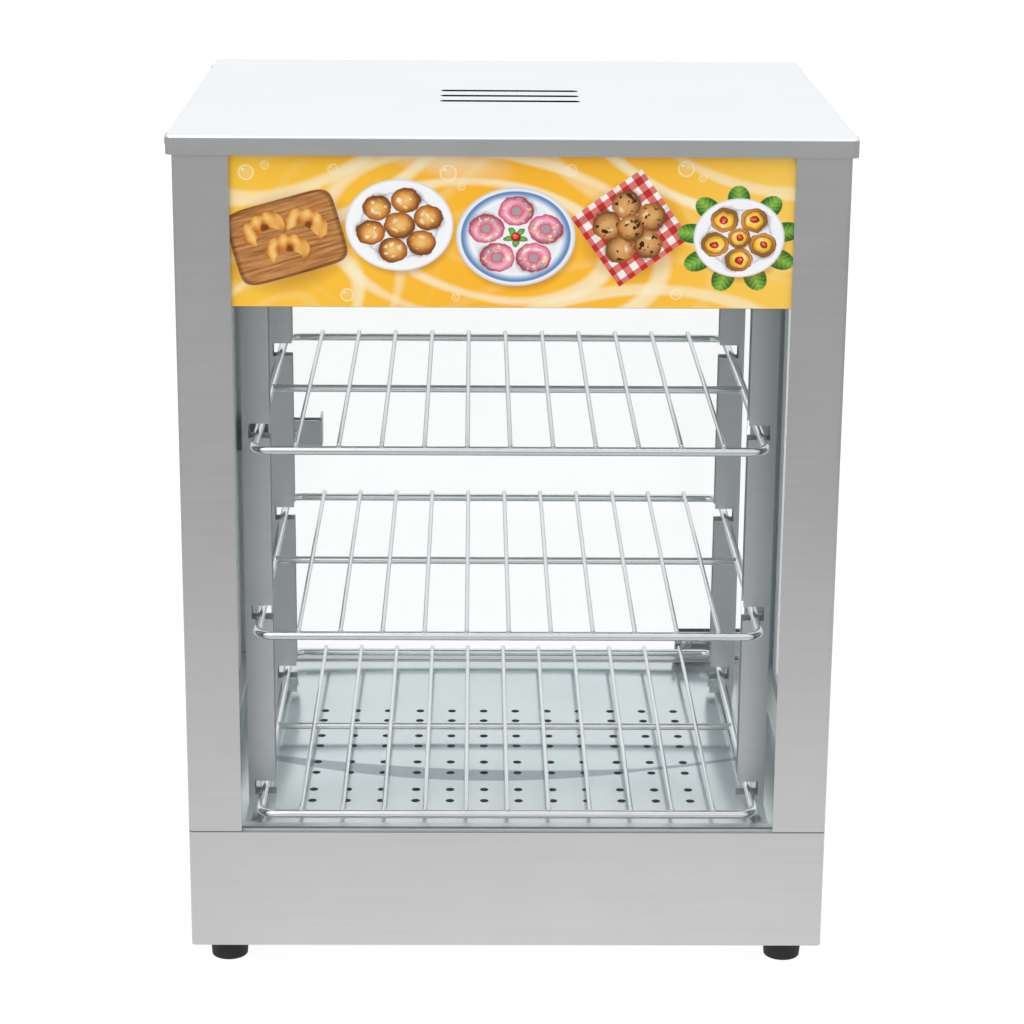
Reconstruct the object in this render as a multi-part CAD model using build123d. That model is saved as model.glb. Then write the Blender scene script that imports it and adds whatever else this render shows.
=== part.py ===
from build123d import *
import os
from math import cos, radians, sin

# Countertop food warmer: glazed on three sides, hinged glass door at the rear.
# +X is the customer's right, +Y is the rear, +Z is up, all in millimetres.
# Depths are counted back from the front face of the body and turned into Y by place().

# Body
body_width = 360.0
body_depth = 294.0
foot_height = 14.0
base_height = 70.0
window_height = 303.5
header_height = 82.5
lid_height = 10.0
lid_overhang = 3.0
sheet = 1.0
bend_radius = 2.5
lid_corner_radius = 4.0
lid_edge_radius = 1.2
seat_gap = 0.2
pin_fit = 0.05

# Base
rim_width = 13.0
foot_flange_width = 34.0
rear_return = 14.0
deck_skirt = 6.0
deck_rear_inset = 10.0
hole_radius = 2.5
hole_pitch = 20.0
hole_columns = 12
hole_field_shift = -3.0
first_pair_depth = 55.3
pair_pitch = 42.0
pair_rows = 4
row_spacing = 16.5
pan_slot_length = 40.0
pan_slot_width = 4.0
pan_slot_pitch = 14.0
pan_slot_count = 6
pan_slot_x = 80.0
pan_slot_depth = 195.0

# Feet
foot_radius = 11.5
foot_taper = 1.2
foot_inset = 20.0
foot_recess_radius = 5.0
foot_recess_height = 6.0

# Posts
front_post_width = 30.0
rear_post_width = 19.0
post_side_depth = 32.0

# Lid vents
vent_length = 80.0
vent_width = 6.5
vent_count = 3
vent_pitch = 20.0
vent_first_depth = 125.5

# Glazing
glass_thickness = 3.0
glass_play = 0.3
channel_wall = 1.2
channel_width = 12.0
front_channel_inset = 1.0
side_channel_start = 20.0
sill_strip_height = 1.0

# Header box
header_gap = 0.3
header_flange = 11.0
header_rear_flange = 12.0
ceiling_front = 8.5
ceiling_lip = 11.0
window_length = 240.0
window_width = 40.0
window_depth = 80.0
diffuser_lap = 5.0
diffuser_thickness = 3.0
lamp_radius = 7.8
lamp_length = 267.0
lamp_depth = 34.0
lamp_rise = 46.0
cap_radius = 8.2
cap_length = 12.0
holder_wall = 4.0
holder_depth = 22.0
holder_recess = 4.0
reflector_depth = 109.0
reflector_height = 74.0
reflector_foot = 12.0
reflector_lean = 26.0
reflector_half_length = 150.0
driver_length = 120.0
driver_width = 40.0
driver_height = 26.0
driver_depth = 190.0
driver_ear = 12.0
driver_ear_thickness = 2.0

# Shelf rails and shelves
rail_outer_x = 149.5
rail_face = 15.5
rail_width = 12.0
front_rail_depth = 44.0
rear_rail_depth = 234.0
notch_reach = 12.0
notch_height = 8.5
notch_first = 5.0
shelf_pitch = 107.2
shelf_gap = 0.3
frame_wire = 2.5
grid_wire = 1.25
cross_wire = 2.25
shelf_half_width = 140.5
shelf_front_depth = 10.0
shelf_rear_depth = 276.0
shelf_corner_radius = 9.0
shelf_cross_depth = 144.0
grid_count = 11
grid_pitch = 23.4
weld_bite = 0.35

# Door
door_thickness = 5.0
door_set_back = 2.5
door_side_gap = 2.5
door_pivot_inset = 9.0
clamp_wall = 1.2
pad_thickness = 0.6
clamp_length = 44.5
clamp_height = 15.5
clamp_end_gap = 1.5
clamp_screw_from_end = 7.0
pad_margin = 2.0
pivot_radius = 2.0
pivot_reach = 4.0
bush_wall = 0.9
bush_flange_radius = 5.0
bush_flange_height = 1.0
bush_tail = 1.0
handle_height = 21.0
handle_reach = 40.0
handle_corner_radius = 3.0
handle_level = 152.5
handle_grip = 18.0
handle_end_gap = 1.7
door_hole_radius = 3.2
door_screw_from_handle_end = 17.0
magnet_width = 14.0
magnet_thickness = 5.0
magnet_height = 16.0
magnet_gap = 0.3

# Fasteners
screw_radius = 2.0
screw_head_radius = 3.8
screw_head_height = 2.0
screw_hole_radius = 2.1
nut_radius = 3.8
nut_height = 3.0
panel_screw_length = 7.0
panel_screw_margin = 8.0

# Heater
shield_half_width = 150.0
shield_front = 30.0
shield_rear = 235.0
shield_rise = 14.0
standoff_radius = 4.0
standoff_margin = 12.0
element_radius = 3.25
element_rise = 22.0
element_bend = 15.0
element_front = 60.0
element_middle = 150.0
element_rear = 205.0
element_end = 246.0
element_inner_x = 30.0
element_mid_x = 60.0
element_outer_x = 125.0
element_pin_radius = 1.5
element_pin_length = 10.0
support_width = 14.0
support_thickness = 2.0
support_top = 4.0
element_play = 0.1

# Controls on the rear panel
control_rise = 34.0
knob_x = -25.0
power_switch_x = 96.0
lamp_switch_x = 62.0
indicator_x = 30.0
gland_x = -130.0
thermostat_width = 40.0
thermostat_height = 36.0
thermostat_depth = 30.0
neck_radius = 4.8
neck_length = 4.0
neck_nut_radius = 8.0
neck_nut_height = 2.5
shaft_radius = 3.0
shaft_length = 18.0
knob_gap = 0.5
knob_skirt_radius = 16.0
knob_skirt_height = 4.5
knob_grip_radius = 11.5
knob_grip_height = 10.0
knob_flutes = 12
knob_flute_radius = 2.2
knob_edge_radius = 1.0
pointer_width = 1.6
pointer_depth = 0.8
dial_radius = 26.0
dial_thickness = 0.4
switch_body_width = 19.5
switch_body_height = 25.5
switch_body_depth = 22.0
switch_bezel = 1.8
switch_bezel_height = 1.6
rocker_width = 14.4
rocker_half_length = 9.6
rocker_clearance = 0.3
rocker_end_clearance = 0.9
rocker_pivot_inset = 3.0
rocker_end_height = 5.5
rocker_middle_height = 4.6
rocker_back = 2.0
rocker_floor = 5.0
rocker_tilt = 6.0
rocker_pin_radius = 1.2
rocker_pin_length = 1.3
indicator_radius = 4.8
indicator_bezel_radius = 6.5
indicator_bezel_height = 1.5
indicator_dome = 2.5
indicator_tail = 14.0
gland_bore = 4.0
gland_thread_radius = 7.8
gland_thread_length = 12.0
gland_hex = 10.5
gland_hex_height = 5.0
gland_dome_radius = 9.0
gland_dome_height = 11.0
gland_edge_radius = 2.5
gland_nut_height = 3.0
hole_clearance = 0.2
bulb_radius = 3.0
bulb_length = 70.0
bulb_depth = 240.0
bulb_drop = 5.0
bulb_left_x = -104.0
capillary_radius = 0.9
capillary_bend = 4.0
capillary_x = -12.0
capillary_back = 14.0
clip_width = 6.0
clip_body = 10.0
block_length = 36.0
block_width = 16.0
block_height = 14.0
block_x = -140.0
block_depth = 256.0
block_ways = 3
block_way_radius = 2.0
block_way_height = 8.5


# Levels and positions that follow from the sizes above
half = body_width / 2
inner = half - sheet
z_base = foot_height
z_pan = z_base + 2 * sheet
z_rim = z_base + base_height
z_deck = z_rim - sheet
z_head = z_rim + window_height
z_ceiling = z_head + 2 * sheet
z_body = z_head + header_height
z_top = z_body + lid_height
z_under_lid = z_top - sheet
z_shield = z_pan + shield_rise + sheet
z_element = z_shield + element_rise
z_control = z_base + control_rise
panel_in = body_depth - sheet
pivot_x = half - rear_post_width - door_pivot_inset
door_depth = body_depth - door_set_back - door_thickness / 2
foot_x = half - foot_inset
foot_depths = (foot_inset, body_depth - foot_inset)
knob_face = body_depth + neck_length + knob_gap
rear_reaches = (
    knob_face + knob_skirt_height + knob_grip_height,
    body_depth + gland_hex_height + gland_dome_height,
    door_depth + door_thickness / 2 + pad_thickness + clamp_wall + handle_grip,
    body_depth + lid_overhang,
)
middle_depth = (max(rear_reaches) - lid_overhang) / 2


def place(depth):
    """Y of a depth counted back from the front face of the body."""
    return depth - middle_depth


def block(x, depth, z):
    """Box between two X values, two depths and two heights, in any order."""
    low = Vector(min(x), place(min(depth)), min(z))
    size = (abs(x[1] - x[0]), abs(depth[1] - depth[0]), abs(z[1] - z[0]))
    corner = (Align.MIN, Align.MIN, Align.MIN)
    return Pos(low) * Box(*size, align=corner)


def rod(start, end, radius):
    """Cylinder between two points given as X, depth and Z."""
    a = Vector(start[0], place(start[1]), start[2])
    b = Vector(end[0], place(end[1]), end[2])
    plane = Plane(origin=a, z_dir=b - a)
    return plane * Cylinder(radius, (b - a).length, align=(Align.CENTER, Align.CENTER, Align.MIN))


def upright(x, depth, z, radius):
    """Vertical cylinder between two heights."""
    return rod((x, depth, min(z)), (x, depth, max(z)), radius)


def rearward(x, depth, z, radius):
    """Cylinder that runs front to rear between two depths."""
    return rod((x, min(depth), z), (x, max(depth), z), radius)


def crosswise(x, depth, z, radius):
    """Cylinder that runs left to right between two X values."""
    return rod((min(x), depth, z), (max(x), depth, z), radius)


def round_corners(solid, corners, radius):
    """Fillet the vertical edges that pass through corners given as X and depth."""
    edges = []
    for x, depth in corners:
        target = Vector(x, place(depth), 0)
        uprights = solid.edges().filter_by(Axis.Z)
        edges.append(min(uprights, key=lambda e: (Vector(e.center().X, e.center().Y, 0) - target).length))
    return fillet(edges, radius)


def group(solids):
    """Separate solids that share one node."""
    return Compound(children=list(solids))


def hexagon(x, depth, z, across):
    """Hexagonal prism between two depths, axis front to rear, by its inner radius."""
    plane = Plane(origin=(x, place(min(depth)), z), x_dir=(1, 0, 0), z_dir=(0, 1, 0))
    face = plane * RegularPolygon(across, 6, major_radius=False)
    return extrude(face, abs(depth[1] - depth[0]))


def tube(points, radius, bend):
    """Round bar along straight runs joined by tangent arcs; points are X, depth and Z."""
    corners = [Vector(x, place(depth), z) for x, depth, z in points]
    if len(corners) > 2:
        path = FilletPolyline(*corners, radius=bend)
    else:
        path = Line(*corners)
    section = Plane(origin=path @ 0, z_dir=path % 0) * Circle(radius)
    return sweep(section, path=path)


# Fasteners

def screw(x, depth, z, axis, length):
    """Pan-head screw whose head seats at the point and whose shank runs along the axis."""
    out = Vector(*axis)
    seat = Vector(x, depth, z)
    head_end = seat - out * screw_head_height
    tip = seat + out * length
    head = rod(tuple(head_end), tuple(seat), screw_head_radius)
    rim = head.edges().filter_by(GeomType.CIRCLE).sort_by(lambda e: (e.center() - Vector(
        head_end.X, place(head_end.Y), head_end.Z)).length)[0]
    head = fillet(rim, screw_head_height / 3)
    return head + rod(tuple(seat), tuple(tip), screw_radius)


def holes_along(points, radius, reach):
    """Short drills centred on points, each along its own axis."""
    drills = []
    for point, axis in points:
        centre = Vector(*point)
        out = Vector(*axis) * reach
        drills.append(rod(tuple(centre - out), tuple(centre + out), radius))
    return drills


lid_screw_points = [
    ((side * half, depth, z_body + lid_height / 2), (side, 0, 0))
    for side in (-1, 1)
    for depth in (post_side_depth / 2, body_depth - post_side_depth / 2)
]
base_screw_points = [
    ((side * (inner - rear_return / 2), body_depth, z), (0, 1, 0))
    for side in (-1, 1)
    for z in (z_base + panel_screw_margin, z_rim - panel_screw_margin - sheet)
]
header_screw_points = [
    ((side * (half - rear_post_width / 2), body_depth, z), (0, 1, 0))
    for side in (-1, 1)
    for z in (z_head + 2 * panel_screw_margin, z_body - panel_screw_margin)
]
foot_points = [(side * foot_x, depth) for side in (-1, 1) for depth in foot_depths]


def cabinet_screws():
    """Screws that hold the lid, the rear base panel and the rear header panel."""
    made = []
    for (x, depth, z), (side, _, _) in lid_screw_points:
        made.append(screw(x + side * lid_overhang, depth, z, (-side, 0, 0), panel_screw_length))
    for (x, depth, z), _ in base_screw_points + header_screw_points:
        made.append(screw(x, depth, z, (0, -1, 0), panel_screw_length))
    return group(made)


def foot_screws():
    """Screw and nut that clamp each foot to the base."""
    made = []
    for x, depth in foot_points:
        made.append(screw(x, depth, foot_recess_height, (0, 0, 1), foot_height + nut_height))
        nut = upright(x, depth, (z_pan, z_pan + nut_height), nut_radius)
        made.append(nut - upright(x, depth, (z_pan, z_pan + nut_height), screw_radius + pin_fit))
    return group(made)


def feet():
    """Tapered rubber feet with a recess for the screw head."""
    made = []
    for x, depth in foot_points:
        foot = Pos(x, place(depth), 0) * Cone(
            foot_radius - foot_taper, foot_radius, foot_height,
            align=(Align.CENTER, Align.CENTER, Align.MIN))
        foot -= upright(x, depth, (0, foot_recess_height), foot_recess_radius)
        foot -= upright(x, depth, (foot_recess_height, foot_height), screw_hole_radius)
        made.append(foot)
    return group(made)


# Base

def foot_drills():
    return [upright(x, depth, (z_base, z_pan), screw_hole_radius) for x, depth in foot_points]


def base_wrap():
    """Front and sides of the base, bent from one sheet, with rims turned inward."""
    rear = body_depth
    shell = block((-half, half), (0, rear), (z_base, z_rim))
    shell = round_corners(shell, [(-half, 0), (half, 0)], bend_radius)
    levels = (z_base + sheet, z_rim - sheet)
    cavity = block((-inner, inner), (sheet, panel_in - sheet), levels)
    cavity = round_corners(cavity, [(-inner, sheet), (inner, sheet)], bend_radius - sheet)
    shell -= cavity
    shell -= block((-inner, inner), (panel_in, rear), levels)
    mouth = inner - rear_return
    shell -= block((-mouth, mouth), (panel_in - sheet, panel_in), levels)
    top = half - rim_width
    shell -= block((-top, top), (rim_width, rear), (z_rim - sheet, z_rim))
    bottom = half - foot_flange_width
    shell -= block((-bottom, bottom), (foot_flange_width, rear), (z_base, z_base + sheet))
    shell -= foot_drills()
    shell -= holes_along(base_screw_points, screw_hole_radius, 3 * sheet)
    return shell


def base_back_panel():
    """Rear plate of the base with its sill, pierced for the controls and the door pivot."""
    edge = inner - seat_gap
    plate = block((-edge, edge), (panel_in, body_depth), (z_base + sheet + seat_gap, z_rim - sheet))
    sill = half - rim_width - seat_gap
    plate += block((-sill, sill), (body_depth - rim_width, body_depth), (z_rim - sheet, z_rim))
    cut = (panel_in, body_depth)
    plate -= rearward(knob_x, cut, z_control, neck_radius + hole_clearance)
    plate -= rearward(indicator_x, cut, z_control, indicator_radius + hole_clearance)
    plate -= rearward(gland_x, cut, z_control, gland_thread_radius + hole_clearance)
    wide = switch_body_width / 2 + hole_clearance
    tall = switch_body_height / 2 + hole_clearance
    for x in (power_switch_x, lamp_switch_x):
        plate -= block((x - wide, x + wide), cut, (z_control - tall, z_control + tall))
    plate -= upright(pivot_x, door_depth, (z_rim - sheet, z_rim), bush_radius() + pin_fit)
    plate -= holes_along(base_screw_points, screw_hole_radius, 3 * sheet)
    return plate


def base_pan():
    """Bottom plate with two banks of air slots."""
    edge = inner - seat_gap
    depths = (sheet + seat_gap, panel_in - sheet - seat_gap)
    pan = block((-edge, edge), depths, (z_base + sheet, z_pan))
    pan = round_corners(pan, [(-edge, depths[0]), (edge, depths[0])], bend_radius)
    slots = []
    for side in (-1, 1):
        for row in range(pan_slot_count):
            depth = pan_slot_depth - row * pan_slot_pitch
            slot = Pos(side * pan_slot_x, place(depth), z_base + sheet) * SlotOverall(
                pan_slot_length, pan_slot_width)
            slots.append(extrude(slot, sheet))
    return pan - slots - foot_drills()


def deck_plate():
    """Perforated warming deck under the base rim, with its edges turned down."""
    edge = inner - seat_gap
    depths = (sheet + seat_gap, body_depth - deck_rear_inset)
    deck = block((-edge, edge), depths, (z_deck - sheet - deck_skirt, z_deck))
    deck = round_corners(deck, [(-edge, depths[0]), (edge, depths[0])], bend_radius)
    well = block((-edge + sheet, edge - sheet), (depths[0] + sheet, depths[1] - sheet),
                 (z_deck - sheet - deck_skirt, z_deck - sheet))
    deck -= well
    drills = []
    for column in range(hole_columns):
        x = hole_field_shift + (column - (hole_columns - 1) / 2) * hole_pitch
        for pair in range(pair_rows):
            for side in (-1, 1):
                depth = first_pair_depth + pair * pair_pitch + side * row_spacing / 2
                drills.append(upright(x, depth, (z_deck - sheet, z_deck), hole_radius))
    return deck - drills


# Posts and lid

def post(side, front):
    """Corner post: an L of sheet with its outer bend rounded."""
    width = front_post_width if front else rear_post_width
    face = (0, sheet) if front else (panel_in, body_depth)
    flank = (0, post_side_depth) if front else (body_depth - post_side_depth, body_depth)
    corner = 0 if front else body_depth
    inside = sheet if front else panel_in
    levels = (z_rim, z_under_lid)
    angle = block((side * (half - width), side * half), face, levels)
    angle += block((side * inner, side * half), flank, levels)
    angle = round_corners(angle, [(side * half, corner)], bend_radius)
    angle = round_corners(angle, [(side * inner, inside)], bend_radius - sheet)
    drills = holes_along(lid_screw_points + header_screw_points, screw_hole_radius, 3 * sheet)
    return angle - drills


def roof_lid():
    """Folded lid that slips over the posts, with three vent slots."""
    outer = half + lid_overhang
    front = -lid_overhang
    rear = body_depth + lid_overhang
    lid = block((-outer, outer), (front, rear), (z_body, z_top))
    lid = round_corners(lid, [(x, d) for x in (-outer, outer) for d in (front, rear)], lid_corner_radius)
    lid = fillet(lid.faces().sort_by(Axis.Z)[-1].edges(), lid_edge_radius)
    wide = outer - sheet
    hollow = block((-wide, wide), (front + sheet, rear - sheet), (z_body, z_under_lid))
    corners = [(x, d) for x in (-wide, wide) for d in (front + sheet, rear - sheet)]
    lid -= round_corners(hollow, corners, lid_corner_radius - sheet)
    for row in range(vent_count):
        slot = Pos(0, place(vent_first_depth + row * vent_pitch), z_under_lid) * SlotOverall(
            vent_length, vent_width)
        lid -= extrude(slot, sheet)
    lid -= holes_along(lid_screw_points, screw_hole_radius, 3 * lid_overhang)
    return lid


# Glazing

def channel_span():
    """Overall width of a glazing channel across the glass."""
    return glass_thickness + 2 * glass_play + 2 * channel_wall


front_glass_depth = sheet + channel_wall + glass_play
side_glass_x = inner - channel_wall - glass_play
front_channel_x = half - front_post_width + front_channel_inset
front_glass_edge = front_channel_x + channel_width - channel_wall - glass_play
side_glass_depths = (
    side_channel_start + channel_wall + glass_play,
    body_depth - side_channel_start - channel_wall - glass_play,
)
z_glass = z_rim + sill_strip_height
sill_centre = front_glass_depth + glass_thickness / 2


def front_glass():
    depths = (front_glass_depth, front_glass_depth + glass_thickness)
    return block((-front_glass_edge, front_glass_edge), depths, (z_glass, z_head - header_gap))


def side_glass(side):
    across = (side * (side_glass_x - glass_thickness), side * side_glass_x)
    return block(across, side_glass_depths, (z_glass, z_head - header_gap))


def header_panel():
    """Printed panel that closes the front of the light box."""
    depths = (front_glass_depth, front_glass_depth + glass_thickness)
    return block((-front_glass_edge, front_glass_edge), depths, (z_head, z_under_lid - header_gap))


def front_channel(side):
    """U channel behind a front post, open towards the middle."""
    depths = (sheet, sheet + channel_span())
    across = (side * front_channel_x, side * (front_channel_x + channel_width))
    channel = block(across, depths, (z_rim, z_under_lid))
    groove = (side * front_channel_x, side * (front_channel_x + channel_width - channel_wall))
    inside = (sheet + channel_wall, sheet + channel_span() - channel_wall)
    return channel - block(groove, inside, (z_rim, z_under_lid))


def side_channel(side, front):
    """U channel inside a post's side flange, open along the glass."""
    near = side_channel_start
    far = near + channel_width
    depths = (near, far) if front else (body_depth - far, body_depth - near)
    across = (side * (inner - channel_span()), side * inner)
    channel = block(across, depths, (z_rim, z_head))
    groove = (side * (inner - channel_span() + channel_wall), side * (inner - channel_wall))
    if front:
        inside = (near + channel_wall, far)
    else:
        inside = (body_depth - far, body_depth - near - channel_wall)
    return channel - block(groove, inside, (z_rim, z_head))


def glass_seals():
    """Six glazing channels and the three strips that the panes stand on."""
    made = [front_channel(side) for side in (-1, 1)]
    made += [side_channel(side, front) for side in (-1, 1) for front in (True, False)]
    half_strip = glass_thickness / 2
    middle = side_glass_x - half_strip
    levels = (z_rim, z_glass)
    front_end = front_channel_x - seat_gap
    made.append(block((-front_end, front_end), (sill_centre - half_strip, sill_centre + half_strip), levels))
    ends = (side_channel_start + channel_width + seat_gap,
            body_depth - side_channel_start - channel_width - seat_gap)
    for side in (-1, 1):
        across = (side * (middle - half_strip), side * (middle + half_strip))
        made.append(block(across, ends, levels))
    return group(made)


# Header box

def header_side(side):
    """Side plate of the header with a flange that carries the ceiling."""
    depths = (side_channel_start, body_depth - side_channel_start)
    plate = block((side * (inner - sheet), side * inner), depths, (z_head, z_under_lid))
    plate += block((side * (inner - header_flange), side * inner), depths, (z_head, z_head + sheet))
    return plate - holes_along(lid_screw_points, screw_hole_radius, 3 * lid_overhang)


def header_back_panel():
    """Rear plate of the header with the flange that holds the upper door pivot."""
    edge = inner - bend_radius
    plate = block((-edge, edge), (panel_in - sheet, panel_in), (z_head, z_under_lid))
    flange = half - rim_width - seat_gap
    depths = (panel_in - header_rear_flange, panel_in)
    plate += block((-flange, flange), depths, (z_head, z_head + sheet))
    plate -= upright(pivot_x, door_depth, (z_head, z_head + sheet), bush_radius() + pin_fit)
    return plate - holes_along(header_screw_points, screw_hole_radius, 3 * sheet)


def ceiling_panel():
    """Ceiling of the warm space with a lip at the front and a window under the lamp."""
    edge = inner - sheet - seat_gap
    depths = (ceiling_front, panel_in - header_rear_flange + diffuser_lap / 2)
    plate = block((-edge, edge), depths, (z_ceiling - sheet, z_ceiling))
    lip = front_channel_x + channel_width
    plate += block((-lip, lip), (ceiling_front, ceiling_front + sheet), (z_ceiling - sheet, z_ceiling + ceiling_lip))
    opening = (-window_length / 2, window_length / 2)
    span = (window_depth - window_width / 2, window_depth + window_width / 2)
    return plate - block(opening, span, (z_ceiling - sheet, z_ceiling))


def ceiling_diffuser():
    """Frosted pane over the ceiling window."""
    x = window_length / 2 + diffuser_lap
    span = window_width / 2 + diffuser_lap
    depths = (window_depth - span, window_depth + span)
    return block((-x, x), depths, (z_ceiling, z_ceiling + diffuser_thickness))


z_lamp = z_ceiling + lamp_rise


def lamp_tube():
    end = lamp_length / 2 - cap_length
    return crosswise((-end, end), lamp_depth, z_lamp, lamp_radius)


def lamp_end_caps():
    made = []
    for side in (-1, 1):
        ends = (side * (lamp_length / 2 - cap_length), side * lamp_length / 2)
        made.append(crosswise(ends, lamp_depth, z_lamp, cap_radius))
    return group(made)


def lamp_holders():
    """Two sockets that stand on the ceiling and take the ends of the lamp."""
    made = []
    for side in (-1, 1):
        mouth = side * (lamp_length / 2 - holder_recess + glass_play)
        back = mouth + side * (holder_recess + holder_wall)
        depths = (lamp_depth - holder_depth / 2, lamp_depth + holder_depth / 2)
        levels = (z_ceiling, z_lamp + holder_depth / 2)
        holder = block((mouth, back), depths, levels)
        pocket = (mouth, mouth + side * holder_recess)
        made.append(holder - crosswise(pocket, lamp_depth, z_lamp, cap_radius + glass_play))
    return group(made)


def lamp_reflector():
    """Sheet behind the lamp: foot, upright and a top that leans over the lamp."""
    front = reflector_depth
    bottom = z_ceiling
    top = z_ceiling + reflector_height
    section = [
        (front + reflector_foot, bottom), (front + reflector_foot, bottom + sheet),
        (front + sheet, bottom + sheet), (front + sheet, top - reflector_lean / 2),
        (front - reflector_lean + sheet, top), (front - reflector_lean, top - sheet / 2),
        (front, top - reflector_lean / 2 - sheet / 2), (front, bottom),
    ]
    plane = Plane(origin=(-reflector_half_length, 0, 0), x_dir=(0, 1, 0), z_dir=(1, 0, 0))
    outline = Polyline(*[(place(depth), z) for depth, z in section], close=True)
    return extrude(plane * make_face(outline), 2 * reflector_half_length)


def lamp_driver():
    """Supply for the lamp, a closed case with two fixing ears."""
    x = driver_length / 2
    depths = (driver_depth - driver_width / 2, driver_depth + driver_width / 2)
    case = block((-x, x), depths, (z_ceiling, z_ceiling + driver_height))
    case = fillet(case.edges().filter_by(Axis.Z), bend_radius)
    ear = driver_depth - driver_ear / 2, driver_depth + driver_ear / 2
    case += block((-x - driver_ear, x + driver_ear), ear, (z_ceiling, z_ceiling + driver_ear_thickness))
    return case


# Shelf rails and shelves

notch_floors = [z_deck + notch_first + level * shelf_pitch for level in range(3)]


def shelf_rail(side, depth):
    """Channel with its back outward and three notches through both flanges."""
    tip = side * (rail_outer_x - rail_face)
    levels = (z_deck, z_ceiling - sheet)
    rail = block((tip, side * rail_outer_x), (depth, depth + rail_width), levels)
    hollow = (tip, side * (rail_outer_x - sheet))
    rail -= block(hollow, (depth + sheet, depth + rail_width - sheet), levels)
    for floor in notch_floors:
        reach = (tip, tip + side * notch_reach)
        rail -= block(reach, (depth, depth + rail_width), (floor, floor + notch_height))
    return rail


def wire_shelf(level):
    """Round-cornered wire frame, a cross wire at mid depth and the grid on top, welded."""
    z = notch_floors[level] + shelf_gap + frame_wire
    length = shelf_rear_depth - shelf_front_depth
    plane = Plane(origin=(0, place((shelf_front_depth + shelf_rear_depth) / 2), z))
    outline = plane * RectangleRounded(2 * shelf_half_width, length, shelf_corner_radius)
    path = outline.faces()[0].outer_wire()
    section = Plane(origin=path @ 0, z_dir=path % 0) * Circle(frame_wire)
    shelf = sweep(section, path=path)
    z_grid = z + frame_wire + grid_wire - weld_bite
    z_cross = z_grid - grid_wire - cross_wire + weld_bite
    shelf += crosswise((-shelf_half_width, shelf_half_width), shelf_cross_depth, z_cross, cross_wire)
    tips = (shelf_front_depth - frame_wire / 2, shelf_rear_depth + frame_wire / 2)
    for index in range(grid_count):
        x = (index - (grid_count - 1) / 2) * grid_pitch
        shelf += rearward(x, tips, z_grid, grid_wire)
    return shelf


# Door

door_faces = (door_depth - door_thickness / 2, door_depth + door_thickness / 2)
door_left = -(half - rear_post_width - door_side_gap - sheet)
door_right = half - rear_post_width - door_side_gap
z_door = z_rim + bush_flange_height + glass_play + clamp_wall
z_door_top = z_head - bush_flange_height - glass_play - clamp_wall
clamp_right = half - rear_post_width - clamp_end_gap
clamp_left = clamp_right - clamp_length
clamp_screw_x = clamp_left + clamp_screw_from_end
clamp_front = door_faces[0] - pad_thickness - clamp_wall
clamp_rear = door_faces[1] + pad_thickness + clamp_wall
handle_left = -(half - rear_post_width - handle_end_gap)
handle_right = handle_left + handle_reach
handle_screw_x = handle_right - door_screw_from_handle_end
z_handle = z_rim + handle_level
door_screw_points = [
    (clamp_screw_x, z_door + clamp_height / 2),
    (clamp_screw_x, z_door_top - clamp_height / 2),
    (handle_screw_x, z_handle),
]


def bush_radius():
    """Outside radius of a pivot bush where it passes through its flange."""
    return pivot_radius + bush_wall


def door_glass():
    """Glass door, pierced for the two clamp screws and the handle screw."""
    pane = block((door_left, door_right), door_faces, (z_door, z_door_top))
    corners = pane.edges().filter_by(Axis.Y)
    pane = fillet(corners, handle_corner_radius / 2)
    return pane - [rearward(x, door_faces, z, door_hole_radius) for x, z in door_screw_points]


def door_pivot(lower):
    """U clamp on the edge of the glass with its pivot pin riveted in."""
    edge = z_door if lower else z_door_top
    out = -1 if lower else 1
    levels = (edge + out * clamp_wall, edge - out * clamp_height)
    clamp = block((clamp_left, clamp_right), (clamp_front, clamp_rear), levels)
    slot = (clamp_front + clamp_wall, clamp_rear - clamp_wall)
    clamp -= block((clamp_left, clamp_right), slot, (edge, edge - out * clamp_height))
    z_screw = edge - out * clamp_height / 2
    clamp -= rearward(clamp_screw_x, (clamp_front, clamp_rear), z_screw, screw_hole_radius)
    tip = edge + out * (clamp_wall + pivot_reach)
    return clamp + upright(pivot_x, door_depth, (edge, tip), pivot_radius)


def pivot_bushes():
    """Flanged bushes in the sill and in the header flange."""
    made = []
    for flange, out in ((z_rim, 1), (z_head, -1)):
        face = flange + out * bush_flange_height
        tail = flange - out * (sheet + bush_tail)
        bush = upright(pivot_x, door_depth, (flange, face), bush_flange_radius)
        bush += upright(pivot_x, door_depth, (flange, tail), bush_radius())
        made.append(bush - upright(pivot_x, door_depth, (face, tail), pivot_radius + pin_fit))
    return group(made)


def door_clamp_pads():
    """Soft pads between the glass and the clamps and handle."""
    made = []
    front = (door_faces[0] - pad_thickness, door_faces[0])
    rear = (door_faces[1], door_faces[1] + pad_thickness)
    for edge, out in ((z_door, 1), (z_door_top, -1)):
        levels = (edge + out * pad_margin, edge + out * (clamp_height - pad_margin / 2))
        for depths in (front, rear):
            pad = block((clamp_left + pad_margin, clamp_right - 2 * pad_margin), depths, levels)
            made.append(pad - rearward(clamp_screw_x, depths, edge + out * clamp_height / 2, door_hole_radius))
    rise = handle_height / 2 - pad_margin
    for depths in (front, rear):
        across = (handle_left + 2 * pad_margin, handle_right - pad_margin)
        pad = block(across, depths, (z_handle - rise, z_handle + rise))
        made.append(pad - rearward(handle_screw_x, depths, z_handle, door_hole_radius))
    return group(made)


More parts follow.
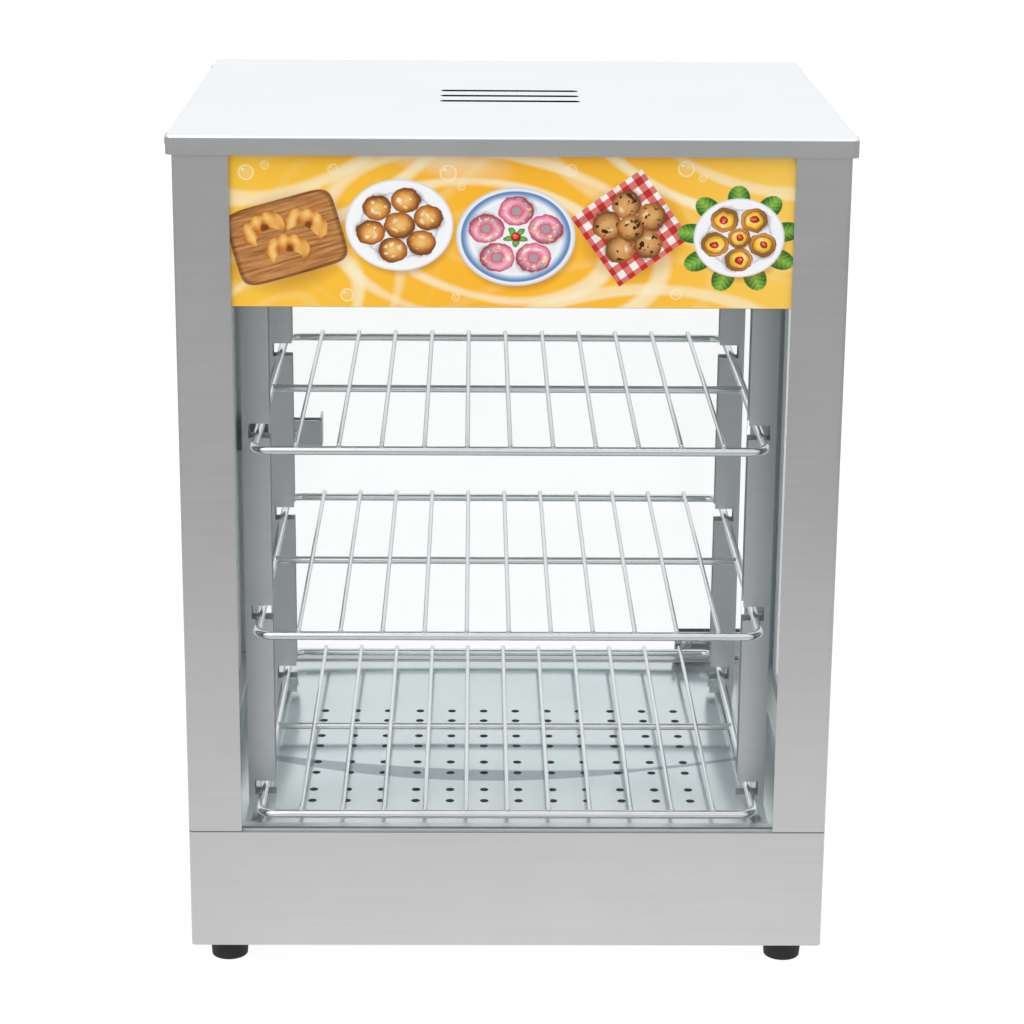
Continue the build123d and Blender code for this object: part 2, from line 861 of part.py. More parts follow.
def door_handle():
    """Clip over the free edge of the glass with one leg turned out as a finger grip."""
    levels = (z_handle - handle_height / 2, z_handle + handle_height / 2)
    clip = block((handle_left, handle_right), (clamp_front, clamp_rear), levels)
    slot = (clamp_front + clamp_wall, clamp_rear - clamp_wall)
    clip -= block((handle_left + clamp_wall, handle_right), slot, levels)
    grip = (clamp_rear, clamp_rear + handle_grip)
    clip += block((handle_right - clamp_wall, handle_right), grip, levels)
    tips = clip.edges().filter_by(Axis.X).group_by(Axis.Y)[-1]
    free = clip.edges().filter_by(Axis.Y).group_by(Axis.X)[-1]
    inner_free = [e for e in free if abs(e.center().Y - place(clamp_front + clamp_wall / 2)) < clamp_wall]
    clip = fillet(list(tips) + inner_free, handle_corner_radius)
    return clip - rearward(handle_screw_x, (clamp_front, clamp_rear), z_handle, screw_hole_radius)


def door_fasteners():
    """Screws with cap nuts through the two clamps and the handle."""
    made = []
    for x, z in door_screw_points:
        through = clamp_rear - clamp_front + nut_height / 2
        made.append(screw(x, clamp_front, z, (0, 1, 0), through))
        nut = rearward(x, (clamp_rear, clamp_rear + nut_height), z, nut_radius)
        nut = fillet(nut.edges().filter_by(GeomType.CIRCLE).sort_by(Axis.Y)[-1], nut_height / 3)
        bore = (clamp_rear, clamp_rear + nut_height / 2 + seat_gap)
        made.append(nut - rearward(x, bore, z, screw_radius + pin_fit))
    return group(made)


def door_magnet():
    """Magnet and its angle on the left rear post; it stops and holds the door."""
    face = clamp_front - magnet_gap
    levels = (z_handle - magnet_height / 2, z_handle + magnet_height / 2)
    right = handle_left + magnet_width / 2
    magnet = block((right - magnet_width, right), (face - magnet_thickness, face), levels)
    back = face - magnet_thickness
    angle = block((-inner, right), (back - sheet, back), levels)
    angle += block((-inner, -inner + sheet), (body_depth - side_channel_start + seat_gap, face), levels)
    return group([magnet, angle])


# Heater

def heat_shield():
    """Shield plate under the heater on four standoffs."""
    depths = (shield_front, shield_rear)
    plate = block((-shield_half_width, shield_half_width), depths, (z_shield - sheet, z_shield))
    plate = fillet(plate.edges().filter_by(Axis.Z), 2 * bend_radius)
    made = [plate]
    for x in (-shield_half_width + standoff_margin, shield_half_width - standoff_margin):
        for depth in (shield_front + standoff_margin, shield_rear - standoff_margin):
            made.append(upright(x, depth, (z_pan, z_shield - sheet), standoff_radius))
    return group(made)


def heating_element():
    """Sheathed element bent in one plane, with a terminal pin at each end."""
    right = [
        (element_inner_x, element_end), (element_inner_x, element_rear),
        (element_outer_x, element_rear), (element_outer_x, element_front),
        (element_mid_x, element_front), (element_mid_x, element_middle),
    ]
    left = [(-x, depth) for x, depth in reversed(right)]
    points = [(x, depth, z_element) for x, depth in right + left]
    made = [tube(points, element_radius, element_bend)]
    for side in (-1, 1):
        ends = (element_end, element_end + element_pin_length)
        made.append(rearward(side * element_inner_x, ends, z_element, element_pin_radius))
    return group(made)


def element_supports():
    """Pierced plates that stand on the shield and carry the element."""
    runs = [
        (element_outer_x, (element_front + element_rear) / 2),
        (element_mid_x, (element_front + element_middle) / 2),
        (element_inner_x, (element_rear + element_end) / 2),
    ]
    made = []
    for side in (-1, 1):
        for x, depth in runs:
            span = (side * x - support_width / 2, side * x + support_width / 2)
            thick = (depth - support_thickness / 2, depth + support_thickness / 2)
            levels = (z_shield, z_element + element_radius + support_top)
            plate = block(span, thick, levels)
            made.append(plate - rearward(side * x, thick, z_element, element_radius + element_play))
    return group(made)


# Controls

def thermostat_body():
    """Thermostat case behind the rear panel with its threaded neck through it."""
    x = thermostat_width / 2
    z = thermostat_height / 2
    depths = (panel_in - thermostat_depth, panel_in)
    case = block((knob_x - x, knob_x + x), depths, (z_control - z, z_control + z))
    case = fillet(case.edges().filter_by(Axis.Y), bend_radius)
    neck_end = body_depth + neck_length
    case += rearward(knob_x, (panel_in, neck_end), z_control, neck_radius)
    bore_end = knob_face - shaft_length - glass_play
    return case - rearward(knob_x, (bore_end, neck_end), z_control, shaft_radius + pin_fit)


def panel_nuts():
    """Nut on the thermostat neck and nut behind the cord gland."""
    outside = (body_depth + dial_thickness, body_depth + dial_thickness + neck_nut_height)
    nut = hexagon(knob_x, outside, z_control, neck_nut_radius)
    nut -= rearward(knob_x, outside, z_control, neck_radius + pin_fit)
    inside = (panel_in - gland_nut_height, panel_in)
    back_nut = hexagon(gland_x, inside, z_control, gland_hex)
    back_nut -= rearward(gland_x, inside, z_control, gland_thread_radius + pin_fit)
    return group([nut, back_nut])


def dial_plate():
    """Thin scale plate under the thermostat knob."""
    depths = (body_depth, body_depth + dial_thickness)
    plate = rearward(knob_x, depths, z_control, dial_radius)
    return plate - rearward(knob_x, depths, z_control, neck_radius + hole_clearance)


def thermostat_knob():
    """Fluted knob with its shaft and a pointer groove."""
    skirt_end = knob_face + knob_skirt_height
    top = skirt_end + knob_grip_height
    skirt = rearward(knob_x, (knob_face, skirt_end), z_control, knob_skirt_radius)
    skirt = fillet(skirt.edges().filter_by(GeomType.CIRCLE).sort_by(Axis.Y)[-1], knob_edge_radius)
    grip = rearward(knob_x, (skirt_end, top), z_control, knob_grip_radius)
    grip = fillet(grip.edges().filter_by(GeomType.CIRCLE).sort_by(Axis.Y)[-1], knob_edge_radius)
    flutes = []
    for index in range(knob_flutes):
        turn = radians(360.0 * (index + 0.5) / knob_flutes)
        reach = knob_grip_radius + knob_flute_radius / 2
        x = knob_x + reach * cos(turn)
        z = z_control + reach * sin(turn)
        flutes.append(rearward(x, (skirt_end, top), z, knob_flute_radius))
    grip -= flutes
    groove = (knob_x - pointer_width / 2, knob_x + pointer_width / 2)
    grip -= block(groove, (top - pointer_depth, top), (z_control + pointer_width, z_control + knob_grip_radius))
    shaft = rearward(knob_x, (knob_face - shaft_length, knob_face), z_control, shaft_radius)
    return skirt + grip + shaft


rocker_axis_depth = body_depth - rocker_pivot_inset
rocker_pocket_half = rocker_width / 2 + rocker_clearance


def switch_body(x):
    """Switch case with its bezel on the panel and a pocket for the rocker."""
    wide = switch_body_width / 2
    tall = switch_body_height / 2
    z = z_control
    case = block((x - wide, x + wide), (body_depth - switch_body_depth, body_depth), (z - tall, z + tall))
    rim_x = wide + switch_bezel
    rim_z = tall + switch_bezel
    face = body_depth + switch_bezel_height
    bezel = block((x - rim_x, x + rim_x), (body_depth, face), (z - rim_z, z + rim_z))
    bezel = fillet(bezel.edges().filter_by(Axis.Y), switch_bezel)
    case += bezel
    length = rocker_half_length + rocker_end_clearance
    pocket = (x - rocker_pocket_half, x + rocker_pocket_half)
    case -= block(pocket, (rocker_axis_depth - rocker_floor, face), (z - length, z + length))
    reach = rocker_width / 2 + rocker_pin_length + rocker_clearance
    return case - crosswise((x - reach, x + reach), rocker_axis_depth, z, rocker_pin_radius + pin_fit)


def switch_rocker(x):
    """Rocker at its off position, turned about the pins at its sides."""
    section = [
        (-rocker_half_length, rocker_end_height), (0, rocker_middle_height),
        (rocker_half_length, rocker_end_height), (rocker_half_length, -rocker_back),
        (-rocker_half_length, -rocker_back),
    ]
    plane = Plane(origin=(x - rocker_width / 2, 0, 0), x_dir=(0, 1, 0), z_dir=(1, 0, 0))
    outline = Polyline(*[(place(rocker_axis_depth + out), z_control + z) for z, out in section], close=True)
    rocker = extrude(plane * make_face(outline), rocker_width)
    pin = rocker_width / 2 + rocker_pin_length
    rocker += crosswise((x - pin, x + pin), rocker_axis_depth, z_control, rocker_pin_radius)
    axis = Axis((x, place(rocker_axis_depth), z_control), (1, 0, 0))
    return rocker.rotate(axis, rocker_tilt)


def indicator_lamp():
    """Pilot light with a bezel, a domed lens and its tail behind the panel."""
    front = body_depth + indicator_bezel_height
    lamp = rearward(indicator_x, (panel_in - indicator_tail, body_depth), z_control, indicator_radius)
    lamp += rearward(indicator_x, (body_depth, front), z_control, indicator_bezel_radius)
    dome = rearward(indicator_x, (front, front + indicator_dome), z_control, indicator_radius)
    dome = fillet(dome.edges().filter_by(GeomType.CIRCLE).sort_by(Axis.Y)[-1], 0.8 * indicator_dome)
    return lamp + dome


def cord_gland():
    """Strain-relief gland with a through bore for the supply cord."""
    hex_end = body_depth + gland_hex_height
    end = hex_end + gland_dome_height
    gland = hexagon(gland_x, (body_depth, hex_end), z_control, gland_hex)
    dome = rearward(gland_x, (hex_end, end), z_control, gland_dome_radius)
    dome = fillet(dome.edges().filter_by(GeomType.CIRCLE).sort_by(Axis.Y)[-1], gland_edge_radius)
    thread = (body_depth - gland_thread_length, body_depth)
    gland += dome + rearward(gland_x, thread, z_control, gland_thread_radius)
    return gland - rearward(gland_x, (thread[0], end), z_control, gland_bore)


z_bulb = z_deck - sheet - bulb_drop


def sensor_bulb():
    """Thermostat bulb under the deck and its capillary down to the case."""
    right = bulb_left_x + bulb_length
    bulb = crosswise((bulb_left_x, right), bulb_depth, z_bulb, bulb_radius)
    entry = panel_in - thermostat_depth + capillary_back
    line = tube([
        (right, bulb_depth, z_bulb), (capillary_x, bulb_depth, z_bulb),
        (capillary_x, entry, z_bulb), (capillary_x, entry, z_control + thermostat_height / 2),
    ], capillary_radius, capillary_bend)
    return bulb + line


def bulb_clips():
    """Two clips that hold the bulb against the deck."""
    made = []
    for share in (0.2, 0.8):
        x = bulb_left_x + share * bulb_length
        span = (x - clip_width / 2, x + clip_width / 2)
        depths = (bulb_depth - clip_body / 2, bulb_depth + clip_body / 2)
        clip = block(span, depths, (z_bulb - clip_body / 2, z_deck - sheet))
        made.append(clip - crosswise(span, bulb_depth, z_bulb, bulb_radius + element_play))
    return group(made)


def terminal_block():
    """Three-way connector block on the pan, where the supply cord ends."""
    x = block_length / 2
    depths = (block_depth - block_width / 2, block_depth + block_width / 2)
    case = block((block_x - x, block_x + x), depths, (z_pan, z_pan + block_height))
    case = fillet(case.edges().filter_by(Axis.Z), bend_radius / 2)
    pitch = block_length / block_ways
    for way in range(block_ways):
        bore_x = block_x + (way - (block_ways - 1) / 2) * pitch
        case -= rearward(bore_x, depths, z_pan + block_way_height, block_way_radius)
    return case


nodes = {
    "base_wrap": base_wrap(),
    "base_back_panel": base_back_panel(),
    "base_pan": base_pan(),
    "deck_plate": deck_plate(),
    "front_post_left": post(-1, True),
    "front_post_right": post(1, True),
    "rear_post_left": post(-1, False),
    "rear_post_right": post(1, False),
    "roof_lid": roof_lid(),
    "front_glass": front_glass(),
    "side_glass_left": side_glass(-1),
    "side_glass_right": side_glass(1),
    "glass_seals": glass_seals(),
    "header_panel": header_panel(),
    "header_side_left": header_side(-1),
    "header_side_right": header_side(1),
    "header_back_panel": header_back_panel(),
    "ceiling_panel": ceiling_panel(),
    "ceiling_diffuser": ceiling_diffuser(),
    "lamp_tube": lamp_tube(),
    "lamp_end_caps": lamp_end_caps(),
    "lamp_holders": lamp_holders(),
    "lamp_reflector": lamp_reflector(),
    "lamp_driver": lamp_driver(),
    "shelf_rail_front_left": shelf_rail(-1, front_rail_depth),
    "shelf_rail_front_right": shelf_rail(1, front_rail_depth),
    "shelf_rail_rear_left": shelf_rail(-1, rear_rail_depth),
    "shelf_rail_rear_right": shelf_rail(1, rear_rail_depth),
    "shelf_bottom": wire_shelf(0),
    "shelf_middle": wire_shelf(1),
    "shelf_top": wire_shelf(2),
    "door_glass": door_glass(),
    "door_pivot_bottom": door_pivot(True),
    "door_pivot_top": door_pivot(False),
    "pivot_bushes": pivot_bushes(),
    "door_clamp_pads": door_clamp_pads(),
    "door_handle": door_handle(),
    "door_fasteners": door_fasteners(),
    "door_magnet": door_magnet(),
    "heat_shield": heat_shield(),
    "heating_element": heating_element(),
    "element_supports": element_supports(),
    "thermostat_body": thermostat_body(),
    "thermostat_knob": thermostat_knob(),
    "dial_plate": dial_plate(),
    "panel_nuts": panel_nuts(),
    "power_switch_body": switch_body(power_switch_x),
    "power_switch_rocker": switch_rocker(power_switch_x),
    "lamp_switch_body": switch_body(lamp_switch_x),
    "lamp_switch_rocker": switch_rocker(lamp_switch_x),
    "indicator_lamp": indicator_lamp(),
    "cord_gland": cord_gland(),
    "sensor_bulb": sensor_bulb(),
    "bulb_clips": bulb_clips(),
    "terminal_block": terminal_block(),
    "feet": feet(),
    "foot_screws": foot_screws(),
    "cabinet_screws": cabinet_screws(),
}

os.makedirs("parts", exist_ok=True)
for name, shape in nodes.items():
    export_step(shape, f"parts/{name}.step")

print("nodes", len(nodes))
print("middle depth", middle_depth, "door axis", pivot_x, place(door_depth))
print("knob axis", knob_x, z_control, "rocker axis", place(rocker_axis_depth))
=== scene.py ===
from math import cos, pi, radians, sin, tau

import bmesh
import bpy
import numpy as np
from mathutils import Matrix, Vector


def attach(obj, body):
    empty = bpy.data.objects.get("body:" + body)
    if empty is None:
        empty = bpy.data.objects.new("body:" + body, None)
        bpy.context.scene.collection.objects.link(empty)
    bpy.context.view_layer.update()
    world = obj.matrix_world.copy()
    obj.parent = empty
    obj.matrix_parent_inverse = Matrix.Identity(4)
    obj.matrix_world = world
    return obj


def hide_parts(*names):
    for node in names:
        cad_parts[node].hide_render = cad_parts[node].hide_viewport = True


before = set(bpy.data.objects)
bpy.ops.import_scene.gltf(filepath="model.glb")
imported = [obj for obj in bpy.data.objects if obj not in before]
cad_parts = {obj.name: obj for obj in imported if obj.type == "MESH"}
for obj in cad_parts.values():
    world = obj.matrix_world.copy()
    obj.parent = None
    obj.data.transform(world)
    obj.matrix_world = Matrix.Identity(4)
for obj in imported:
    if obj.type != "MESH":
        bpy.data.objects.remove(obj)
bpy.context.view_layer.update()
scene = bpy.context.scene
MM = 0.001

# Places on the cabinet, in millimetres; depths run back from the front face
FRONT_Y, REAR_Y = -155.0, 139.0
BASE_SEAM_Z = 84.0
HEADER_MIDDLE_Z = 429.0
LID_SCREW_X, LID_SCREW_Z, LID_SCREW_DEPTHS = 183.0, 475.0, (16.0, 278.0)
BASE_SCREW_X, BASE_SCREW_HEIGHTS = 172.0, (22.0, 75.0)
HEADER_SCREW_X, HEADER_SCREW_HEIGHTS = 170.5, (403.5, 462.0)
DOOR_SCREWS = ((122.0, 94.05), (122.0, 377.45), (-136.3, 236.5))
CLAMP_DEPTHS = (284.7, 293.3)
SHELF_LEVELS = (("bottom", 90.8), ("middle", 198.0), ("top", 305.2))
SHELF_WIRES, SHELF_PITCH = 11, 23.4
CONTROL_Z, KNOB_X, POWER_X, LAMP_X = 48.0, -25.0, 96.0, 62.0
ROCKER_Y, ROCKER_TILT = 136.0, radians(6)
DIAL_STEPS, DIAL_STEP = 10, 30


def rgb(red, green, blue):
    """A screen colour from 0 to 255 as the linear colour that shaders take."""
    screen = np.array((red, green, blue)) / 255
    linear = np.where(screen > 0.04045, ((screen + 0.055) / 1.055) ** 2.4, screen / 12.92)
    return (*(float(part) for part in linear), 1.0)


def toned(colour, factor):
    """A colour made lighter or darker."""
    return (*(min(1.0, factor * part) for part in colour[:3]), 1.0)


# Shaders

class Wire:
    """One shader value; Python's operators on it add Math nodes."""

    def __init__(self, finish, socket):
        self.finish, self.socket = finish, socket

    def maths(self, operation, *others, clamp=False):
        """A Math node with this value first."""
        settings = {"operation": operation, "use_clamp": clamp}
        return self.finish.node("ShaderNodeMath", settings, dict(enumerate((self, *others))))

    def turned(self, operation, other):
        """A Math node with this value second, for a number on the operator's left."""
        return self.finish.node("ShaderNodeMath", {"operation": operation}, {0: other, 1: self})

    def __add__(self, other): return self.maths("ADD", other)
    def __sub__(self, other): return self.maths("SUBTRACT", other)
    def __mul__(self, other): return self.maths("MULTIPLY", other)
    def __truediv__(self, other): return self.maths("DIVIDE", other)
    def __pow__(self, other): return self.maths("POWER", other)
    def __lt__(self, other): return self.maths("LESS_THAN", other)
    def __gt__(self, other): return self.maths("GREATER_THAN", other)
    def __abs__(self): return self.maths("ABSOLUTE")
    def __rsub__(self, other): return self.turned("SUBTRACT", other)
    __radd__, __rmul__ = __add__, __mul__

    def held(self):
        """The value kept between 0 and 1."""
        return self.maths("ADD", 0.0, clamp=True)


class Finish:
    """The node tree of a material or of the world, with short calls for the nodes used here."""

    def __init__(self, name, owner=None):
        self.owner = owner or bpy.data.materials.new(name)
        self.owner.use_nodes = True
        self.tree = self.owner.node_tree
        self.tree.nodes.clear()
        self.seen = {}

    def node(self, kind, settings=None, sockets=None, output=0):
        """Add a node: its settings first, then the values or links of its sockets."""
        made = self.tree.nodes.new(kind)
        for name, value in (settings or {}).items():
            if name == "stops":
                ramp = made.color_ramp
                while len(ramp.elements) < len(value):
                    ramp.elements.new(0.5)
                for stop, (position, colour) in zip(ramp.elements, value):
                    stop.position, stop.color = position, colour
            else:
                setattr(made, name, value)
        for key, value in (sockets or {}).items():
            if isinstance(value, Wire):
                self.tree.links.new(value.socket, made.inputs[key])
            else:
                made.inputs[key].default_value = value
        return Wire(self, made.outputs[output])

    def place(self, output="Object"):
        """Object coordinates in metres, or the object's own normals."""
        if output not in self.seen:
            self.seen[output] = self.node("ShaderNodeTexCoord", output=output)
        return self.seen[output]

    def axis(self, letter, output="Object"):
        """One coordinate of the place, or of the object's own normals."""
        key = letter + output
        if key not in self.seen:
            self.seen[key] = self.node("ShaderNodeSeparateXYZ", {}, {0: self.place(output)}, letter)
        return self.seen[key]

    def joined(self, x, y, z=0.0):
        """A vector from its parts."""
        return self.node("ShaderNodeCombineXYZ", {}, {0: x, 1: y, 2: z})

    def vector(self, operation, *values, output=0):
        """A Vector Math node."""
        settings = {"operation": operation}
        return self.node("ShaderNodeVectorMath", settings, dict(enumerate(values)), output)

    def parts(self, vector):
        """The x and the y of a vector."""
        return [self.node("ShaderNodeSeparateXYZ", {}, {0: vector}, letter) for letter in "XY"]

    def local(self, vector, centre, turn=0.0, size=(1.0, 1.0)):
        """Coordinates about a centre, turned and divided by a size."""
        sockets = {0: vector, 1: (*centre, 0.0), 2: (0.0, 0.0, turn), 3: (*size, 1.0)}
        return self.node("ShaderNodeMapping", {"vector_type": "TEXTURE"}, sockets)

    def length(self, vector):
        """How long a vector is."""
        return self.vector("LENGTH", vector, output="Value")

    def noise(self, scale, detail=3.0, vector=None, stretch=None, rough=0.55):
        """Cloudy noise from about 0.2 to 0.8, on a place that may be stretched."""
        source = vector or self.place()
        if stretch:
            source = self.vector("MULTIPLY", source, stretch)
        sockets = {"Vector": source, "Scale": scale, "Detail": detail, "Roughness": rough}
        return self.node("ShaderNodeTexNoise", {}, sockets, "Fac")

    def mix(self, amount, first, second):
        """A colour or vector between two; 6, 7 and 2 are the Mix node's sockets for them."""
        return self.node("ShaderNodeMix", {"data_type": "RGBA"}, {0: amount, 6: first, 7: second}, 2)

    def ramp(self, value, stops):
        """Colours along a value."""
        return self.node("ShaderNodeValToRGB", {"stops": stops}, {0: value})

    def bump(self, height, strength, distance):
        """A normal that follows a height."""
        sockets = {"Height": height, "Strength": strength, "Distance": distance}
        return self.node("ShaderNodeBump", {}, sockets)

    def surface(self, **sockets):
        """Close the tree with a Principled shader."""
        named = {key.replace("_", " "): value for key, value in sockets.items()}
        return self.output(self.node("ShaderNodeBsdfPrincipled", {}, named))

    def ray(self, kind):
        """1 for the rays of one kind."""
        return self.node("ShaderNodeLightPath", {}, {}, kind)

    def shown(self):
        """1 for the rays that show the background: the camera's, and those through glass."""
        return (self.ray("Is Camera Ray") + self.ray("Is Transmission Ray")).held()

    def output(self, shader, kind="ShaderNodeOutputMaterial"):
        """Close the tree; gives the material or the world."""
        end = self.tree.nodes.new(kind)
        self.tree.links.new(shader.socket, end.inputs["Surface"])
        return self.owner


def brushed_steel(name, tone, rough=0.34, lit_top_tone=None, seam_z=None):
    """Rolled stainless sheet: fine level brush marks, slow clouds of tone, smears, painted shade at a joint.

    With a top tone, upward faces get a pale painted reflection and the vent slot walls a dark painted shade.
    """
    f = Finish(name)
    grain = 0.05
    upright = f.vector("MULTIPLY", f.place(), (9.0, 9.0, 2600.0))
    flat = f.vector("MULTIPLY", f.place(), (9.0, 2600.0, 9.0))
    lies_flat = abs(f.axis("Z", "Normal")) > 0.7
    pattern = f.mix(lies_flat, upright, flat)
    marks = f.noise(1.0, 4.0, pattern, rough=0.6)
    coarse = f.noise(1.0, 2.0, pattern, (1.2, 0.12, 0.12))
    clouds = f.noise(5.0, 2.0)
    mottle = f.noise(55.0, 4.0)
    shade = (marks - 0.5) * 1.2 + (coarse - 0.5) * 0.8 + (clouds - 0.5) * 1.4 + (mottle - 0.5) * 0.5
    colour = f.mix((shade + 0.5).held(), toned(tone, 1 - grain), toned(tone, 1 + grain))
    if lit_top_tone:
        slot_reach, slots_y, slots_reach = 0.0415, -0.0095, 0.026
        walls = (abs(f.axis("Y") - slots_y) < slots_reach) * (1 - lies_flat)
        slot_shade = (abs(f.axis("X")) < slot_reach) * walls
        # Painted reflection: upward faces take the pale top tone, as if mirroring the bright overhead.
        faces_up = f.axis("Z", "Normal") > 0.7
        colour = f.mix(faces_up, colour, f.mix(shade.held() * 0.12, lit_top_tone, tone))
        # Painted shade: the vent slot walls are painted near black.
        colour = f.mix(slot_shade, colour, (0.012, 0.012, 0.013, 1.0))
    if seam_z:
        seam_half_width = 0.00042
        # Painted shade: a thin near-black line on upright faces at the joint height stands in for the gap's
        # shade.
        seam_shade = (abs(f.axis("Z") - seam_z * MM) < seam_half_width) * (1 - lies_flat)
        colour = f.mix(seam_shade * 0.72, colour, (0.05, 0.05, 0.055, 1.0))
    smear = f.noise(22.0, 5.0, stretch=(1.0, 1.0, 0.5))
    return f.surface(Base_Color=colour, Metallic=1.0,
                     Roughness=marks * 0.08 + smear * 0.12 + (rough - 0.1),
                     Normal=f.bump(marks, 0.07, 0.0002))


def polished_sheet(name, tone):
    """Bright deck sheet: a shallow dish, a grey arc of painted reflection, scuffs and haze.

    The dish's height is a tilt times y, times one less the square of x over the half width. The arc is
    a parabola in x, widest a little left of the middle.
    """
    f = Finish(name)
    half_width, tilt = 0.16, 0.07
    arc_depth, arc_rise, arc_reach = 85, 27, 140
    bow = 1 - (f.axis("X") / half_width) ** 2
    dish = bow * f.axis("Y") * tilt + f.noise(5.0, 1.0) * 0.0005
    scuffs = f.noise(1.0, 3.0, stretch=(30.0, 900.0, 30.0))
    haze = f.noise(18.0, 4.0)
    colour = f.mix(((haze - 0.35) * 2.0).held(), tone, toned(tone, 0.93))
    across, depth = f.axis("X") * 1000, f.axis("Y") * 1000 - FRONT_Y
    width = (1 - ((across + 40) / 120) ** 2).held() * 6.5 + 3.0
    away = abs(depth - (across / arc_reach) ** 2 * arc_rise - arc_depth)
    # Painted reflection: a soft grey arc is mixed into the deck colour.
    arc = ((width - away) * 0.6).held() * (abs(across) < 146)
    colour = f.mix(arc * 0.85, colour, rgb(142, 153, 158))
    wave = f.bump(dish, 1.0, 1.0)
    sockets = {"Height": scuffs, "Strength": 0.04, "Distance": 0.0002, "Normal": wave}
    return f.surface(Base_Color=colour, Metallic=1.0, Roughness=haze * 0.10 + scuffs * 0.05 + 0.10,
                     Normal=f.node("ShaderNodeBump", {}, sockets))


def plated(name, tone, rough=0.1, spread=0.08):
    """Bright plating over wire or sheet, a little uneven."""
    f = Finish(name)
    cloud = f.noise(60.0, 4.0)
    fine = f.noise(900.0, 2.0)
    colour = f.mix(cloud, toned(tone, 0.86), tone)
    return f.surface(Base_Color=colour, Metallic=1.0, Roughness=cloud * spread + rough,
                     Normal=f.bump(fine, 0.06, 0.0002))


def moulded(name, tone, rough=0.45, coat=0.0, grain=0.18, scale=1400.0):
    """Moulded plastic or rubber with a fine spark texture."""
    f = Finish(name)
    fine = f.noise(scale, 2.0)
    cloud = f.noise(35.0, 3.0)
    return f.surface(Base_Color=f.mix(cloud, toned(tone, 0.78), tone),
                     Roughness=fine * 0.14 + (rough - 0.07), Coat_Weight=coat,
                     Normal=f.bump(fine, grain, 0.0003))


def pane(name, face_axis):
    """Clear sheet glass: a faint mirror over what lies behind, a film of dust, and green cut edges."""
    f = Finish(name)
    glance = f.node("ShaderNodeLayerWeight", {}, {"Blend": 0.28}, "Fresnel")
    face = abs(f.axis(face_axis, "Normal")) > 0.7
    dust = f.noise(26.0, 6.0)
    wiped = f.noise(1.0, 3.0, stretch=(40.0, 40.0, 9.0))
    film = (dust * wiped - 0.22).held() * 0.045
    clear = (glance * 0.55 + film + 0.018).maths("MINIMUM", 0.26)
    colour = f.mix(face, rgb(166, 200, 196), rgb(218, 236, 243))
    return f.surface(Base_Color=colour, Metallic=face * 0.9, Roughness=film * 2.0 + 0.03,
                     Alpha=face * clear + (1 - face) * 0.62)


# Printed header panel, drawn in millimetres about the middle of the visible face

class Print(Finish):
    """The header artwork, laid down colour by colour from the back."""

    def __init__(self, name, middle_z):
        super().__init__(name)
        self.u = self.axis("X") * 1000
        self.v = self.axis("Z") * 1000 - middle_z
        self.point = self.joined(self.u, self.v)
        sockets = {"Vector": self.place(), "Scale": 260.0, "Detail": 2.0}
        cloud = self.node("ShaderNodeTexNoise", {}, sockets, "Color")
        stir = self.vector("SUBTRACT", cloud, (0.5, 0.5, 0.5))
        self.baked = self.vector("MULTIPLY_ADD", stir, (2.4, 2.4, 0.0), self.point)
        self.ground = None

    def lay(self, mask, colour):
        """Print a colour over what is there, where the mask is 1."""
        self.ground = self.mix(mask, self.ground, colour)

    def edge(self, distance, size, soft=0.35, strength=1.0):
        """Mask that is 1 inside a unit outline whose real radius is size millimetres."""
        mask = ((1 - distance) * (size / soft)).held()
        return mask * strength if strength != 1.0 else mask

    def disc(self, centre, size, colour, turn=0.0, soft=0.35, strength=1.0):
        """An ellipse of one colour."""
        distance = self.length(self.local(self.point, centre, turn, size))
        self.lay(self.edge(distance, min(size), soft, strength), colour)

    def shaded(self, local, size, stops):
        """Disc whose colour runs outwards through stops, in local unit coordinates."""
        distance = self.length(local)
        self.lay(self.edge(distance, size), self.ramp(distance, stops))
        return distance

    def ring_of(self, plate, count, radius, size, phase=0.0):
        """Unit coordinates about the nearest of a ring of equal items on a plate."""
        x, y = self.parts(plate)
        step = tau / count
        angle = y.maths("ARCTAN2", x)
        sector = ((angle - phase) * (1 / step)).maths("ROUND") * step + phase
        settings = {"rotation_type": "Z_AXIS"}
        turned = self.node("ShaderNodeVectorRotate", settings, {"Vector": plate, "Angle": sector * -1})
        return self.local(turned, (radius, 0.0), 0.0, (size, size))


def print_ground(art):
    """Orange ground with broad cream swirls and a pale glow at the top.

    A swirl is a sine of the distance from its centre, pushed about by noise and kept to a band.
    """
    stops = [(0.0, rgb(252, 200, 66)), (0.45, rgb(255, 186, 44)),
             (0.75, rgb(255, 193, 56)), (1.0, rgb(255, 208, 92))]
    art.ground = art.ramp((art.u + 150) / 300, stops)
    drift = art.noise(9.0, 1.0) * 3.0
    width = art.noise(16.0, 1.0)
    ripples = [((-8.0, -6.0), -0.18, 0.40, 62.0, 1.0), ((-112.0, 70.0), 0.5, 0.30, 88.0, 0.95),
               ((128.0, 62.0), -0.3, 0.34, 84.0, 1.0), ((60.0, -84.0), 0.1, 0.36, 70.0, 0.85),
               ((-132.0, -58.0), 0.7, 0.42, 58.0, 0.8)]
    for centre, turn, pace, reach, strength in ripples:
        local = art.local(art.point, centre, turn, (1.9, 1.0))
        distance = art.length(local)
        wave = (distance * pace + drift).maths("SINE")
        crest = ((wave + width * 1.4 - 1.05) * 1.7).held()
        fade = (1 - abs(distance - reach * 0.62) / (reach * 0.42)).held()
        art.lay(crest * fade * strength, rgb(255, 244, 208))
    glow = art.length(art.local(art.point, (-52.0, 47.0), -0.3, (58.0, 15.0)))
    art.lay((1 - glow).held() * 0.9, rgb(255, 250, 228))


